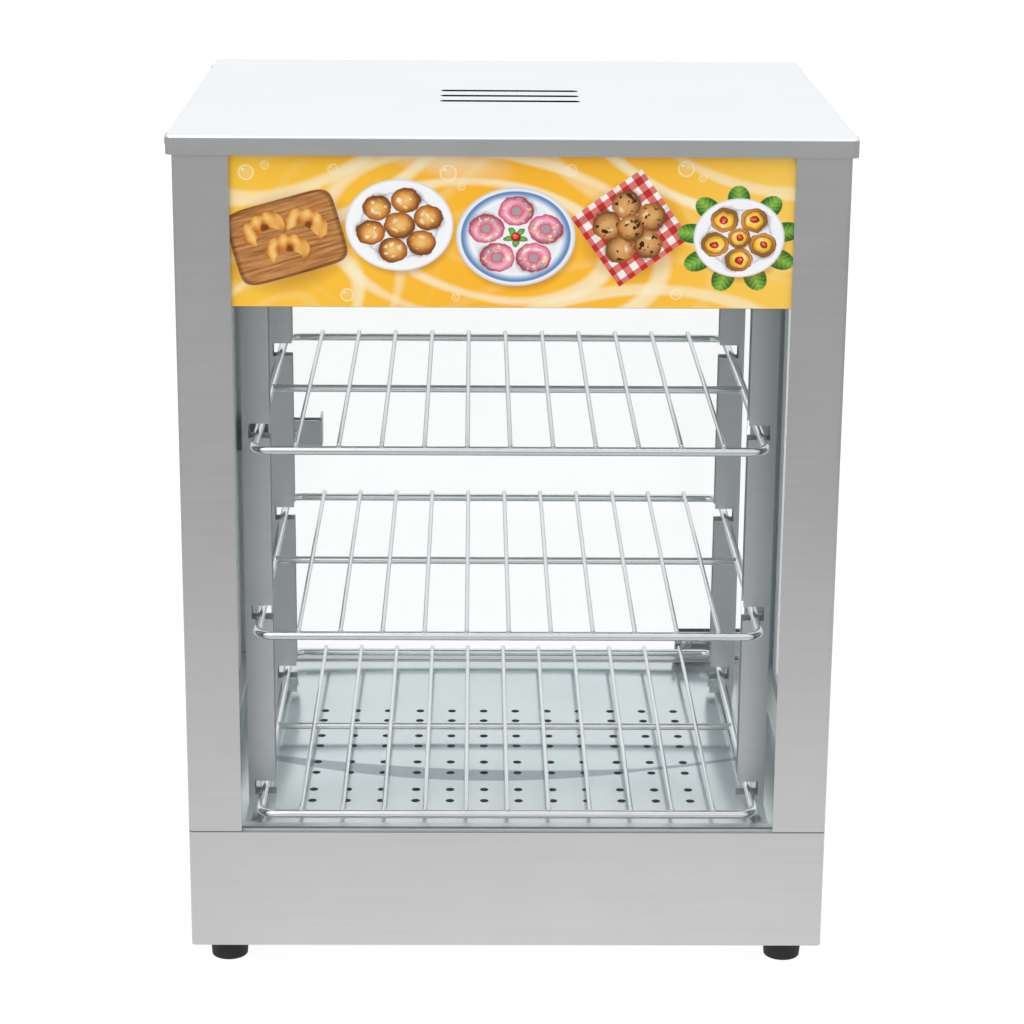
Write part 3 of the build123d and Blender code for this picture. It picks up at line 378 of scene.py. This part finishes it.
def print_bubbles(art):
    """Air bubbles: a thin bright rim, a faint body and a glint."""
    bubbles = [(-141, 31, 4.2), (-131, 35, 2.4), (-95, 33, 2.8), (-34, 31, 4.6), (-27, 24, 2.2),
               (31, 33, 3.2), (92, 34, 4.4), (101, 29, 2.2), (88, -34, 3.0), (-88, -35, 3.6),
               (-30, -36, 2.2)]
    for x, y, radius in bubbles:
        distance = art.length(art.local(art.point, (x, y), 0.0, (radius, radius)))
        rim = (1 - abs(distance - 0.9) * 7).held() * 0.75
        art.lay((rim + (1 - distance).held() * 0.22).held(), rgb(255, 251, 228))
        glint = (x - 0.4 * radius, y + 0.4 * radius)
        art.disc(glint, (0.22 * radius, 0.16 * radius), rgb(255, 255, 250), 0.7)


# Colours from the middle of a thing to its rim
PLATE = [(0.0, rgb(246, 247, 250)), (0.66, rgb(236, 238, 243)), (0.70, rgb(205, 208, 216)),
         (0.74, rgb(247, 248, 251)), (0.94, rgb(252, 252, 254)), (1.0, rgb(205, 207, 214))]
BLUE_PLATE = [(0.0, rgb(247, 248, 250)), (0.68, rgb(238, 240, 245)), (0.76, rgb(250, 251, 253)),
              (0.86, rgb(120, 160, 205)), (0.90, rgb(86, 128, 186)), (0.93, rgb(250, 251, 253)),
              (1.0, rgb(200, 204, 214))]
CRUST = [(0.0, rgb(247, 205, 126)), (0.45, rgb(235, 170, 84)), (0.8, rgb(196, 118, 46)),
         (1.0, rgb(128, 66, 22))]
TART = [(0.0, rgb(255, 232, 120)), (0.5, rgb(252, 208, 72)), (0.64, rgb(240, 178, 48)),
        (0.70, rgb(176, 104, 36)), (0.85, rgb(222, 158, 82)), (1.0, rgb(146, 84, 32))]
COOKIE = [(0.0, rgb(228, 176, 112)), (0.7, rgb(208, 146, 80)), (1.0, rgb(150, 92, 44))]
GLAZE = [(0.0, rgb(250, 190, 205)), (0.5, rgb(240, 132, 160)), (0.8, rgb(214, 92, 128)),
         (1.0, rgb(190, 128, 70))]
BERRY = [(0.0, rgb(255, 120, 96)), (0.5, rgb(222, 36, 38)), (1.0, rgb(140, 10, 22))]


def print_plate(art, centre, size, stops, squash):
    """A plate seen from above the table with its shadow; gives coordinates on the plate."""
    x, y = centre
    shadow = (size * 1.03, size * squash * 1.04)
    art.disc((x + 1.4, y - 2.8), shadow, rgb(150, 84, 20), soft=5.0, strength=0.6)
    art.shaded(art.local(art.point, centre, 0.0, (size, size * squash)), size * squash, stops)
    return art.local(art.baked, centre, 0.0, (1.0, squash))


def print_round(art, spot, size, stops, shadow):
    """A domed item: its shadow, its body, a shaded lower side and a glint."""
    art.lay(art.edge(art.length(art.local(spot, (0.12, -0.24))), size, 0.35 * size, 0.7), shadow)
    distance = art.shaded(spot, size, stops)
    below = art.length(art.local(spot, (-0.16, 0.3)))
    art.lay(((below - 0.62) * 1.9).held() * art.edge(distance, size) * 0.62, rgb(84, 40, 14))
    glint = art.length(art.local(spot, (-0.26, 0.36), 0.6, (0.34, 0.17)))
    art.lay((1 - glint).held() * 0.7, rgb(255, 250, 232))
    return distance


def print_rolls(art, centre):
    """Seeded rolls in a ring with one in the middle."""
    plate = print_plate(art, centre, 29.0, PLATE, 0.86)
    for spot in (art.ring_of(plate, 6, 16.0, 8.0, 0.3), art.local(plate, (0.0, 0.0), 0.0, (8.4, 8.4))):
        distance = print_round(art, spot, 8.0, CRUST, rgb(96, 76, 60))
        seeds = ((art.noise(430.0, 0.0) - 0.62) * 16).held()
        art.lay(seeds * ((0.7 - distance) * 4).held() * 0.9, rgb(255, 243, 205))


def print_board(art, centre):
    """Crescent pastries on a wooden board."""
    board = art.local(art.point, centre, 0.28, (30.0, 21.0))
    x, y = art.parts(board)
    outline = (abs(x) ** 7 + abs(y) ** 7) ** (1 / 7)
    shadow = art.local(art.point, (centre[0] + 1.2, centre[1] - 2.4), 0.28, (31.0, 22.0))
    art.lay((1 - art.length(shadow) * 0.76).held() * 1.6, rgb(160, 92, 24))
    rings = art.noise(1.0, 3.0, board, (1.2, 13.0, 1.0))
    wood = art.ramp(rings, [(0.3, rgb(132, 78, 38)), (0.5, rgb(186, 126, 70)), (0.7, rgb(214, 158, 98))])
    art.lay(art.edge(outline, 21.0), wood)
    art.lay(((outline - 0.9) * 20).held() * art.edge(outline, 21.0) * 0.6, rgb(96, 52, 24))
    for x, y, turn in ((-12.0, 4.5, 0.5), (10.5, 7.0, -0.3), (0.5, -6.5, 0.1)):
        spot = art.local(art.baked, (centre[0] + x, centre[1] + y), turn, (12.0, 8.6))
        length = art.length(spot)
        bite = art.length(art.local(spot, (0.0, -0.74), 0.0, (0.62, 0.6)))
        shape = (bite - 1.0).maths("MULTIPLY", 12.0, clamp=True)
        ground = art.length(art.local(spot, (0.1, -0.2)))
        art.lay(art.edge(ground, 8.6, 3.0, 0.55) * shape, rgb(70, 36, 16))
        along = art.parts(spot)[0]
        folds = ((along * 12).maths("SINE") * 0.5 + 0.5) * 0.42
        crust = art.ramp((folds + abs(length - 0.66) * 1.5).held(), CRUST)
        art.lay(art.edge(length, 8.6) * shape, crust)


def print_doughnuts(art, centre):
    """Glazed rings on an oval platter."""
    plate = print_plate(art, centre, 32.0, BLUE_PLATE, 0.84)
    spot = art.ring_of(plate, 5, 16.5, 9.6, 0.31)
    art.lay(art.edge(art.length(art.local(spot, (0.12, -0.22))), 9.0, 3.0, 0.65), rgb(96, 84, 84))
    distance = art.length(spot)
    round_ring = abs(distance - 0.62) * 2.5
    ring = art.edge(distance, 9.6) * ((distance - 0.25) * 20).held()
    art.lay(ring, art.ramp(round_ring.held(), GLAZE))
    below = art.length(art.local(spot, (-0.16, 0.3)))
    art.lay(((below - 0.66) * 1.8).held() * ring * 0.6, rgb(104, 30, 40))
    kinds = [(0.4, rgb(255, 236, 110)), (0.5, rgb(255, 255, 255)), (0.6, rgb(110, 190, 120))]
    sprinkles = ((art.noise(520.0, 0.0) - 0.61) * 18).held() * (1 - round_ring * 1.3).held()
    art.lay(sprinkles, art.ramp(art.noise(300.0, 0.0), kinds))
    glint = art.length(art.local(spot, (-0.34, 0.48), 0.7, (0.3, 0.11)))
    art.lay((1 - glint).held() * 0.8, rgb(255, 250, 246))
    leaf = art.ring_of(plate, 5, 3.6, 1.0, 0.9)
    petal = art.length(art.local(leaf, (0.0, 0.0), 0.0, (3.6, 1.9)))
    art.lay(art.edge(petal, 1.9), art.mix((petal * 0.9).held(), rgb(140, 196, 84), rgb(56, 118, 44)))
    print_round(art, art.local(plate, (0.0, 0.0), 0.0, (2.6, 2.6)), 2.6, BERRY, rgb(60, 70, 40))


def print_napkin(art, centre):
    """Biscuits with chips on a checked napkin."""
    cloth = art.local(art.point, centre, 0.62, (23.0, 23.0))
    x, y = art.parts(cloth)
    outline = abs(x).maths("MAXIMUM", abs(y))
    shadow = art.local(art.point, (centre[0] + 1.0, centre[1] - 2.4), 0.0, (31.0, 29.0))
    art.lay((1 - art.length(shadow)).held() * 1.5, rgb(160, 92, 24))
    bands = [((part * 18).maths("SINE") * 6 + 0.5).held() for part in (x, y)]
    kinds = [(0.0, rgb(250, 247, 243)), (0.5, rgb(226, 120, 112)), (1.0, rgb(196, 44, 44))]
    art.lay(art.edge(outline, 23.0), art.ramp((bands[0] + bands[1]) / 2, kinds))
    creases = art.noise(1.0, 2.0, cloth, (1.4, 3.0, 1.0))
    art.lay(art.edge(outline, 23.0) * ((creases - 0.5) * 3).held() * 0.4, rgb(120, 60, 60))
    plate = art.local(art.baked, centre)
    for spot in (art.ring_of(plate, 5, 12.8, 7.8, 0.5), art.local(plate, (0.0, 0.0), 0.0, (7.2, 7.2))):
        distance = print_round(art, spot, 7.6, COOKIE, rgb(92, 44, 34))
        chips = ((art.noise(330.0, 1.0) - 0.58) * 16).held() * ((0.86 - distance) * 8).held()
        art.lay(chips, rgb(62, 30, 18))


def print_tarts(art, centre):
    """Fruit tarts on a plate over a fan of leaves."""
    x, y = centre
    fan = art.local(art.point, (x, y - 1.0), 0.0, (1.0, 0.88))
    leaf = art.ring_of(fan, 9, 25.0, 1.0, 0.2)
    blade = art.length(art.local(leaf, (0.0, 0.0), 0.0, (8.5, 6.2)))
    along, across = art.parts(leaf)
    veins = ((along * 2.2 - abs(across) * 1.6).maths("SINE") * 0.5 + 0.5) * 0.3
    green = art.mix((abs(across) * 0.18 + veins).held(), rgb(150, 196, 78), rgb(44, 112, 40))
    art.lay(art.edge(blade, 6.0), green)
    plate = print_plate(art, centre, 24.5, PLATE, 0.88)
    for spot in (art.ring_of(plate, 5, 13.4, 7.6, 0.94), art.local(plate, (0.0, 0.0), 0.0, (6.4, 6.4))):
        print_round(art, spot, 7.4, TART, rgb(110, 88, 66))
        print_round(art, art.local(spot, (0.05, 0.05), 0.0, (0.32, 0.32)), 2.3, BERRY, rgb(170, 110, 30))


def header_artwork():
    """Glossy printed panel: the artwork on its face, plain acrylic at the back and edges."""
    art = Print("header_print", HEADER_MIDDLE_Z)
    print_ground(art)
    print_bubbles(art)
    print_board(art, (-120.0, -4.0))
    print_rolls(art, (-60.0, 3.0))
    print_doughnuts(art, (2.0, -3.0))
    print_napkin(art, (63.0, 2.0))
    print_tarts(art, (121.0, -3.0))
    printed = art.axis("Y", "Normal") < -0.5
    colour = art.mix(printed, rgb(238, 226, 190), art.ground)
    dust = art.noise(40.0, 5.0)
    return art.surface(Base_Color=colour, Roughness=dust * 0.08 + 0.16, Specular_IOR_Level=0.3)


def diffuser_finish():
    """Frosted sheet under the lamp."""
    f = Finish("frosted_pane")
    frost = f.noise(1600.0, 2.0)
    return f.surface(Base_Color=f.mix(f.noise(30.0), rgb(236, 238, 234), rgb(250, 250, 246)),
                     Roughness=frost * 0.15 + 0.45, Normal=f.bump(frost, 0.25, 0.0003))


def tinted_sheath():
    """Heater sheath with straw and blue heat colours in bands along the tube."""
    f = Finish("heater_sheath")
    heat_tones = [(0.3, rgb(92, 88, 92)), (0.45, rgb(128, 104, 78)),
                  (0.55, rgb(98, 92, 104)), (0.7, rgb(120, 118, 116))]
    fine = f.noise(700.0, 3.0)
    return f.surface(Base_Color=f.ramp(f.noise(16.0, 2.0), heat_tones), Metallic=0.9,
                     Roughness=fine * 0.2 + 0.32, Normal=f.bump(fine, 0.1, 0.0002))


def lens_finish(name, tone, glow):
    """Translucent moulded lens with crossed ribs behind it, each a sine along x or z."""
    f = Finish(name)
    ribs = ((f.axis("X") * 2600).maths("SINE") + (f.axis("Z") * 2600).maths("SINE")) * 0.25 + 0.5
    colour = f.mix(ribs, toned(tone, 0.55), tone)
    return f.surface(Base_Color=colour, Roughness=0.14, Coat_Weight=0.6, Emission_Color=colour,
                     Emission_Strength=glow)


def dial_finish():
    """Anodised scale plate with a long tick at each number and four short ones between."""
    f = Finish("dial_scale")
    sweep = (DIAL_STEPS - 1) * DIAL_STEP
    x = (f.axis("X") * 1000 - KNOB_X) * -1
    z = f.axis("Z") * 1000 - CONTROL_Z
    distance = (x * x + z * z).maths("SQRT")
    angle = x.maths("ARCTAN2", z) * (180 / pi)
    turn = angle + (angle < -15) * 360
    ticks = []
    for step, inside, outside, width in ((DIAL_STEP, 17.6, 19.8, 0.42), (6, 17.6, 18.8, 0.24)):
        nearest = (turn / step).maths("ROUND") * step
        offset = abs(turn - nearest) * distance * (pi / 180)
        mark = (offset < width) * (distance > inside) * (distance < outside)
        ticks.append(mark * (turn > -2) * (turn < sweep + 2))
    rim = (distance > 25.0) * (distance < 25.35)
    ink = (ticks[0] + ticks[1] + rim).held()
    grain = f.noise(1.0, 3.0, stretch=(40.0, 40.0, 2600.0))
    satin = f.mix(grain, rgb(176, 179, 183), rgb(214, 216, 219))
    return f.surface(Base_Color=f.mix(ink, satin, rgb(28, 28, 30)), Metallic=(1 - ink) * 0.9,
                     Roughness=grain * 0.12 + 0.32)


steel = brushed_steel("cabinet_steel", rgb(214, 215, 214), seam_z=BASE_SEAM_Z)
lid_steel = brushed_steel("lid_steel", rgb(214, 215, 215), lit_top_tone=rgb(240, 244, 247))
rail_steel = brushed_steel("rail_steel", rgb(206, 208, 209), 0.38)
inner_steel = brushed_steel("inner_sheet", rgb(200, 202, 203), 0.42)
deck_steel = polished_sheet("deck_sheet", rgb(211, 221, 222))
wire_plate = plated("bright_wire", rgb(234, 237, 238), 0.10)
zinc = plated("zinc_steel", rgb(206, 208, 208), 0.2, 0.15)
dark_plate = plated("handle_steel", rgb(204, 209, 211), 0.3, 0.16)
clamp_plate = plated("clamp_steel", rgb(196, 198, 200), 0.12, 0.1)
rubber = moulded("foot_rubber", rgb(34, 34, 35), 0.72, grain=0.4, scale=900.0)
pad_rubber = moulded("pad_rubber", rgb(52, 53, 55), 0.66, grain=0.3)
black = moulded("black_plastic", rgb(30, 30, 32), 0.42)
nylon = moulded("nylon", rgb(226, 225, 217), 0.5, grain=0.1)
seal = moulded("glazing_seal", rgb(196, 202, 204), 0.38, coat=0.3, grain=0.06)
opal = moulded("opal_glass", rgb(248, 247, 240), 0.2, coat=0.8, grain=0.02)
ferrite = moulded("ferrite", rgb(58, 59, 62), 0.6)
copper = plated("copper", rgb(205, 128, 92), 0.28, 0.2)
anodised = plated("anodised", rgb(198, 200, 203), 0.3, 0.1)
rocker_lens = lens_finish("rocker_red", rgb(196, 28, 24), 0.15)
amber_lens = lens_finish("lens_amber", rgb(240, 138, 30), 0.25)

finishes = {
    "base_wrap": steel, "base_back_panel": steel, "base_pan": inner_steel, "deck_plate": deck_steel,
    "front_post_left": steel, "front_post_right": steel, "rear_post_left": steel, "rear_post_right": steel,
    "roof_lid": lid_steel, "glass_seals": seal, "header_panel": header_artwork(),
    "front_glass": pane("front_pane", "Y"),
    "door_glass": pane("door_pane", "Y"),
    "header_side_left": steel, "header_side_right": steel, "header_back_panel": steel,
    "ceiling_panel": inner_steel, "ceiling_diffuser": diffuser_finish(), "lamp_tube": opal,
    "lamp_end_caps": anodised, "lamp_holders": nylon, "lamp_reflector": inner_steel, "lamp_driver": nylon,
    "shelf_bottom": wire_plate, "shelf_middle": wire_plate, "shelf_top": wire_plate,
    "door_pivot_bottom": clamp_plate, "door_pivot_top": clamp_plate, "pivot_bushes": nylon,
    "door_clamp_pads": pad_rubber, "door_handle": dark_plate, "door_fasteners": zinc, "door_magnet": ferrite,
    "heat_shield": inner_steel, "heating_element": tinted_sheath(), "element_supports": zinc,
    "thermostat_body": nylon, "thermostat_knob": black, "dial_plate": dial_finish(), "panel_nuts": zinc,
    "power_switch_body": black, "lamp_switch_body": black, "power_switch_rocker": rocker_lens,
    "lamp_switch_rocker": black, "indicator_lamp": amber_lens, "cord_gland": black, "sensor_bulb": copper,
    "bulb_clips": zinc, "terminal_block": nylon, "feet": rubber, "foot_screws": zinc, "cabinet_screws": zinc,
}
side_pane = pane("side_pane", "X")
for side in ("left", "right"):
    finishes["side_glass_" + side] = side_pane
    for end in ("front", "rear"):
        finishes[f"shelf_rail_{end}_{side}"] = rail_steel
for node, finish in finishes.items():
    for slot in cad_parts[node].material_slots:
        slot.material = finish


# New pieces

def grid_faces(rows, columns, first=0):
    """Quads of a grid of points: point (row, column) has index row * columns + column, and the last
    column joins the first."""
    row, column = np.meshgrid(np.arange(rows - 1), np.arange(columns), indexing="ij")
    after = (column + 1) % columns
    corners = (row * columns + column, (row + 1) * columns + column,
               (row + 1) * columns + after, row * columns + after)
    return np.stack(corners, -1).reshape(-1, 4) + first


def piece(name, points, faces, finish, body, slot_name, replaced=()):
    """A mesh at the origin from points in millimetres and quads or triangles."""
    mesh = bpy.data.meshes.new(name)
    mesh.from_pydata((np.asarray(points) * MM).tolist(), [], [list(face) for face in faces])
    mesh.validate()
    mesh.shade_smooth()
    made = bpy.data.objects.new(name, mesh)
    scene.collection.objects.link(made)
    mesh.materials.append(finish)
    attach(made, body)
    if replaced:
        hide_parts(*replaced)
    return made


def turned_rows(radii, heights, columns):
    """Rows of a turned surface: the radius times the cosine and the sine of the angle, at the height.

    Radii and heights have one value a row, or one for each angle of the row.
    """
    angle = np.arange(columns) * tau / columns
    shape = (len(heights), columns)
    radius, height = (np.broadcast_to(np.asarray(values, float).reshape(len(heights), -1), shape)
                      for values in (radii, heights))
    return np.stack((radius * np.cos(angle), radius * np.sin(angle), height), -1)


def set_on(rows, seat, out):
    """Rows turned so that their height runs along out, and moved to a seat."""
    out = np.array(out, float)
    side = np.cross(out, (0.0, 0.0, 1.0) if abs(out[2]) < 0.9 else (1.0, 0.0, 0.0))
    side /= np.linalg.norm(side)
    up = np.cross(out, side)
    return rows[..., :1] * side + rows[..., 1:2] * up + rows[..., 2:] * out + np.array(seat, float)


def screw_rows(shank):
    """Pan head with a cross recess on a plain shank, from the middle of the head to the tip.

    The head's height is the root of one less the radius share to the power 3.2. The recess is cut
    where the smaller of |x| and |y| is within its half width and the larger within its reach.
    """
    head_radius, head_height, shank_radius, columns = 3.8, 2.0, 2.0, 64
    recess_half_width, recess_reach, recess_depth = 0.42, 2.0, 1.1
    radius = np.concatenate((np.linspace(0.0, 2.4, 22), np.linspace(2.6, head_radius, 8)))
    share = radius / head_radius
    curve = np.sqrt(np.clip(1 - share ** 3.2, 0, 1))
    dome = head_height * (0.82 * curve + 0.18 * (share < 1))
    angle = np.arange(columns) * tau / columns
    across = np.abs(radius[:, None] * np.cos(angle)), np.abs(radius[:, None] * np.sin(angle))
    recess = (np.minimum(*across) < recess_half_width) & (np.maximum(*across) < recess_reach)
    top = turned_rows(radius[:, None], dome[:, None] - recess_depth * recess, columns)
    lower = turned_rows([head_radius, head_radius, shank_radius, shank_radius, 1.5, 0.0],
                        [0.3, 0.0, 0.0, 0.6 - shank, -shank, -shank], columns)
    return np.concatenate((top, lower))


def nut_rows():
    """Cap nut: six flats with a dome that closes over them.

    A flat's radius is the round one over the cosine of the angle from the middle of the flat.
    """
    columns = 48
    angle = np.arange(columns) * tau / columns
    hexagon = 1 / np.cos((angle + pi / 6) % (pi / 3) - pi / 6)
    # Radius, height and share of the hexagon, from the seat to the top of the dome
    rings = np.array([(0.0, 0.0, 0.0), (3.25, 0.0, 1.0), (3.25, 1.5, 1.0), (3.15, 1.7, 0.8), (2.6, 1.8, 0.0),
                      (2.3, 2.4, 0.0), (1.5, 2.8, 0.0), (0.6, 3.0, 0.0), (0.0, 3.0, 0.0)])
    radius, height, share = rings.T[..., None]
    return turned_rows(radius * (1 + share * (hexagon - 1)), height, columns)[::-1]


def gathered(sets):
    """Points and quads of several sets of closed rows as one mesh."""
    points, faces, first = [], [], 0
    for rows in sets:
        points.append(rows.reshape(-1, 3))
        faces.append(grid_faces(rows.shape[0], rows.shape[1], first))
        first += rows.shape[0] * rows.shape[1]
    return np.concatenate(points), np.concatenate(faces)


def heal(made):
    """Merge the poles of turned surfaces and turn all faces outwards."""
    solid = bmesh.new()
    solid.from_mesh(made.data)
    bmesh.ops.remove_doubles(solid, verts=solid.verts, dist=1e-6)
    bmesh.ops.dissolve_degenerate(solid, edges=solid.edges, dist=1e-7)
    bmesh.ops.recalc_face_normals(solid, faces=solid.faces)
    solid.to_mesh(made.data)
    solid.free()


def creased(made, degrees=34):
    """Smooth faces with sharp edges kept where they turn by more than the angle."""
    made.data.set_sharp_from_angle(angle=radians(degrees))


cabinet_seats = [((side * LID_SCREW_X, FRONT_Y + depth, LID_SCREW_Z), (side, 0, 0))
                 for side in (-1, 1) for depth in LID_SCREW_DEPTHS]
cabinet_seats += [((side * BASE_SCREW_X, REAR_Y, z), (0, 1, 0))
                  for side in (-1, 1) for z in BASE_SCREW_HEIGHTS]
cabinet_seats += [((side * HEADER_SCREW_X, REAR_Y, z), (0, 1, 0))
                  for side in (-1, 1) for z in HEADER_SCREW_HEIGHTS]
screws = piece("cabinet_screw_set", *gathered([set_on(screw_rows(7.0), *seat) for seat in cabinet_seats]),
               zinc, "cabinet", "zinc_steel", ("cabinet_screws",))
heal(screws)
creased(screws)

clamp_front, clamp_rear = (FRONT_Y + depth for depth in CLAMP_DEPTHS)
fastener_rows = [set_on(screw_rows(10.1), (x, clamp_front, z), (0, -1, 0)) for x, z in DOOR_SCREWS]
fastener_rows += [set_on(nut_rows(), (x, clamp_rear, z), (0, 1, 0)) for x, z in DOOR_SCREWS]
fasteners = piece("door_screw_set", *gathered(fastener_rows),
                  zinc, "door", "zinc_steel", ("door_fasteners",))
heal(fasteners)
creased(fasteners)


def bead_rows(centre, size):
    """An ellipsoid of weld metal: the sine and cosine of the polar angle, times its three sizes."""
    polar = np.linspace(0, pi, 7)
    rows = turned_rows(np.sin(polar)[:, None], np.cos(polar), 10)
    return rows * np.array(size) + np.array(centre)


def shelf_beads(name, level_z, body):
    """Weld beads where the grid crosses the frame and the middle wire, and rounded wire tips."""
    # Depth and height of each bead on a grid wire, and its three sizes
    beads = ((10.0, 2.35, (1.75, 1.3, 0.8)), (276.0, 2.35, (1.75, 1.3, 0.8)), (144.0, 2.2, (1.7, 1.2, 0.8)),
             (8.75, 3.4, (1.24, 0.7, 1.24)), (277.25, 3.4, (1.24, 0.7, 1.24)))
    wires = [(index - SHELF_WIRES // 2) * SHELF_PITCH for index in range(SHELF_WIRES)]
    made = piece(name, *gathered([bead_rows((x, FRONT_Y + depth, level_z + height), size)
                                  for x in wires for depth, height, size in beads]),
                 wire_plate, body, "bright_wire")
    heal(made)


for level, level_z in SHELF_LEVELS:
    shelf_beads(level + "_shelf_welds", level_z, level + "_shelf")


def dial_numbers():
    """The numbers on the scale, slightly raised, each upright on its place round the knob."""
    height, ring_radius = 3.6, 22.4
    points, faces, first = [], [], 0
    for step in range(DIAL_STEPS):
        curve = bpy.data.curves.new("dial_number", "FONT")
        curve.body, curve.size = str(step), height * MM
        curve.align_x, curve.align_y = "CENTER", "CENTER"
        curve.extrude = 0.04 * MM
        holder = bpy.data.objects.new("dial_number", curve)
        scene.collection.objects.link(holder)
        mesh = bpy.data.meshes.new_from_object(holder)
        flat = np.empty(len(mesh.vertices) * 3)
        mesh.vertices.foreach_get("co", flat)
        x, y, z = (flat.reshape(-1, 3) / MM).T
        turn = radians(DIAL_STEP * step)
        points.append(np.stack((KNOB_X - ring_radius * sin(turn) - x, REAR_Y + 0.4 + z,
                                CONTROL_Z + ring_radius * cos(turn) + y), -1))
        faces += [[first + corner for corner in polygon.vertices] for polygon in mesh.polygons]
        first += len(mesh.vertices)
        bpy.data.objects.remove(holder)
        bpy.data.curves.remove(curve)
        bpy.data.meshes.remove(mesh)
    made = piece("dial_numbers", np.concatenate(points), faces, black, "cabinet", "black_plastic")
    heal(made)
    made.data.shade_flat()


dial_numbers()


def rocker_mark(name, x, body, finish):
    """A bar on the upper half and a ring on the lower half of a rocker, on its tilted face.

    The bar is a flat disc stretched along the height. The ring is a torus: its radius plus the tube's
    times the cosine of the tube's angle, flattened. The face is a shallow V, so its distance out is
    the middle's plus a slope times the height.
    """
    bar = turned_rows([0.0, 0.45, 0.45, 0.0], [0.0, 0.0, 0.1, 0.1], 12) * np.array((1.0, 4.2, 1.0))
    ring_radius, tube_radius, tube_height, columns = 1.9, 0.32, 0.12, 40
    angle = np.arange(10) * tau / 10
    ring = turned_rows(ring_radius + tube_radius * np.cos(angle), tube_height * np.sin(angle), columns)
    ring = np.concatenate((ring, ring[:1]))
    middle_out, rise, half_height = 4.6, 0.9, 9.6
    sets = []
    for rows, up in ((bar, 5.4), (ring, -5.4)):
        z = up + rows[..., 1]
        y = middle_out + rows[..., 2] + rise / half_height * np.sign(up) * z
        turned_y = y * cos(ROCKER_TILT) - z * sin(ROCKER_TILT)
        turned_z = y * sin(ROCKER_TILT) + z * cos(ROCKER_TILT)
        sets.append(np.stack((x + rows[..., 0], ROCKER_Y + turned_y, CONTROL_Z + turned_z), -1))
    heal(piece(name, *gathered(sets), finish, body, "nylon"))


mark_white = moulded("mark_white", rgb(236, 236, 232), 0.5, grain=0.05)
rocker_mark("power_rocker_marks", POWER_X, "power_rocker", mark_white)
rocker_mark("lamp_rocker_marks", LAMP_X, "lamp_rocker", mark_white)


# Floor, world and lights

def add_floor():
    """White floor that keeps a faint shadow, greys into the distance in reflections and is clear from
    below."""
    mesh = bpy.data.meshes.new("floor")
    reach = 6.0
    corners = [(-reach, -reach, 0), (reach, -reach, 0), (reach, reach, 0), (-reach, reach, 0)]
    mesh.from_pydata(corners, [], [(0, 1, 2, 3)])
    floor = bpy.data.objects.new("floor", mesh)
    scene.collection.objects.link(floor)
    f = Finish("floor_white")
    seen, mirrored = f.shown(), f.ray("Is Glossy Ray")
    near = (1 - f.length(f.place()) / 1.5).held()
    level = seen * 1.09 + (1 - seen) * mirrored * (near * 0.6 + 0.38)
    glow = f.node("ShaderNodeEmission", {}, {"Color": f.joined(level, level, level), "Strength": 1.0})
    paint = f.node("ShaderNodeBsdfDiffuse", {}, {"Color": (0.86, 0.86, 0.86, 1.0)})
    lit = f.node("ShaderNodeMixShader", {}, {0: seen * 0.86 + (1 - seen) * mirrored, 1: paint, 2: glow})
    clear = f.node("ShaderNodeBsdfTransparent")
    under = f.node("ShaderNodeNewGeometry", {}, {}, "Backfacing")
    mesh.materials.append(f.output(f.node("ShaderNodeMixShader", {}, {0: under, 1: lit, 2: clear})))


def light_world():
    """White to the camera and overhead, paler behind than in front in what the steel mirrors, and
    one soft grey as light."""
    world = scene.world or bpy.data.worlds.new("studio")
    scene.world = world
    f = Finish("studio", world)
    seen, glossy = f.shown(), f.ray("Is Glossy Ray")
    beside = (f.axis("Y", "Generated") * 1.7 + 0.95).held() * 0.66
    mirrored = beside.maths("MAXIMUM", (f.axis("Z", "Generated") * 6).held()) * 0.54 + 0.46
    around = 0.74
    level = seen + (1 - seen) * (mirrored * glossy + (1 - glossy) * around)
    glow = f.node("ShaderNodeBackground", {}, {"Color": (1, 1, 1, 1), "Strength": level})
    f.output(glow, "ShaderNodeOutputWorld")


def add_light(name, place, aim, size, power):
    """A round soft lamp at a place, in metres and watts, aimed at a point."""
    lamp = bpy.data.lights.new(name, "AREA")
    lamp.size, lamp.energy, lamp.shape = size, power, "DISK"
    holder = bpy.data.objects.new(name, lamp)
    holder.location = place
    holder.rotation_euler = (Vector(aim) - Vector(place)).to_track_quat("-Z", "Y").to_euler()
    scene.collection.objects.link(holder)


def add_camera():
    """A camera fitted to the photograph's straight edges, with the small shift that other views keep."""
    pitch, yaw, roll = radians(-15.67), radians(0.84), radians(0.46)
    ahead = Vector((sin(yaw) * cos(pitch), cos(yaw) * cos(pitch), sin(pitch)))
    level = Vector((cos(yaw), -sin(yaw), 0.0))
    above = level.cross(ahead)
    right = cos(roll) * level + sin(roll) * above
    up = -sin(roll) * level + cos(roll) * above
    lens = bpy.data.cameras.new("camera")
    lens.lens, lens.sensor_width, lens.shift_y = 95.4, 36.0, -0.07
    lens.clip_start = 0.05
    camera = bpy.data.objects.new("camera", lens)
    turn = Matrix((right, up, -ahead)).transposed().to_4x4()
    camera.matrix_world = Matrix.Translation(Vector((-20.0, -1572.6, 711.9)) * MM) @ turn
    scene.collection.objects.link(camera)
    scene.camera = camera


add_floor()
light_world()
add_light("key", (-1.2, -1.5, 1.8), (0, 0, 0.25), 2.4, 17.0)
add_light("overhead", (0.1, 0.1, 2.0), (0, 0, 0.3), 2.2, 9.0)
add_camera()
scene.view_settings.view_transform = "Standard"
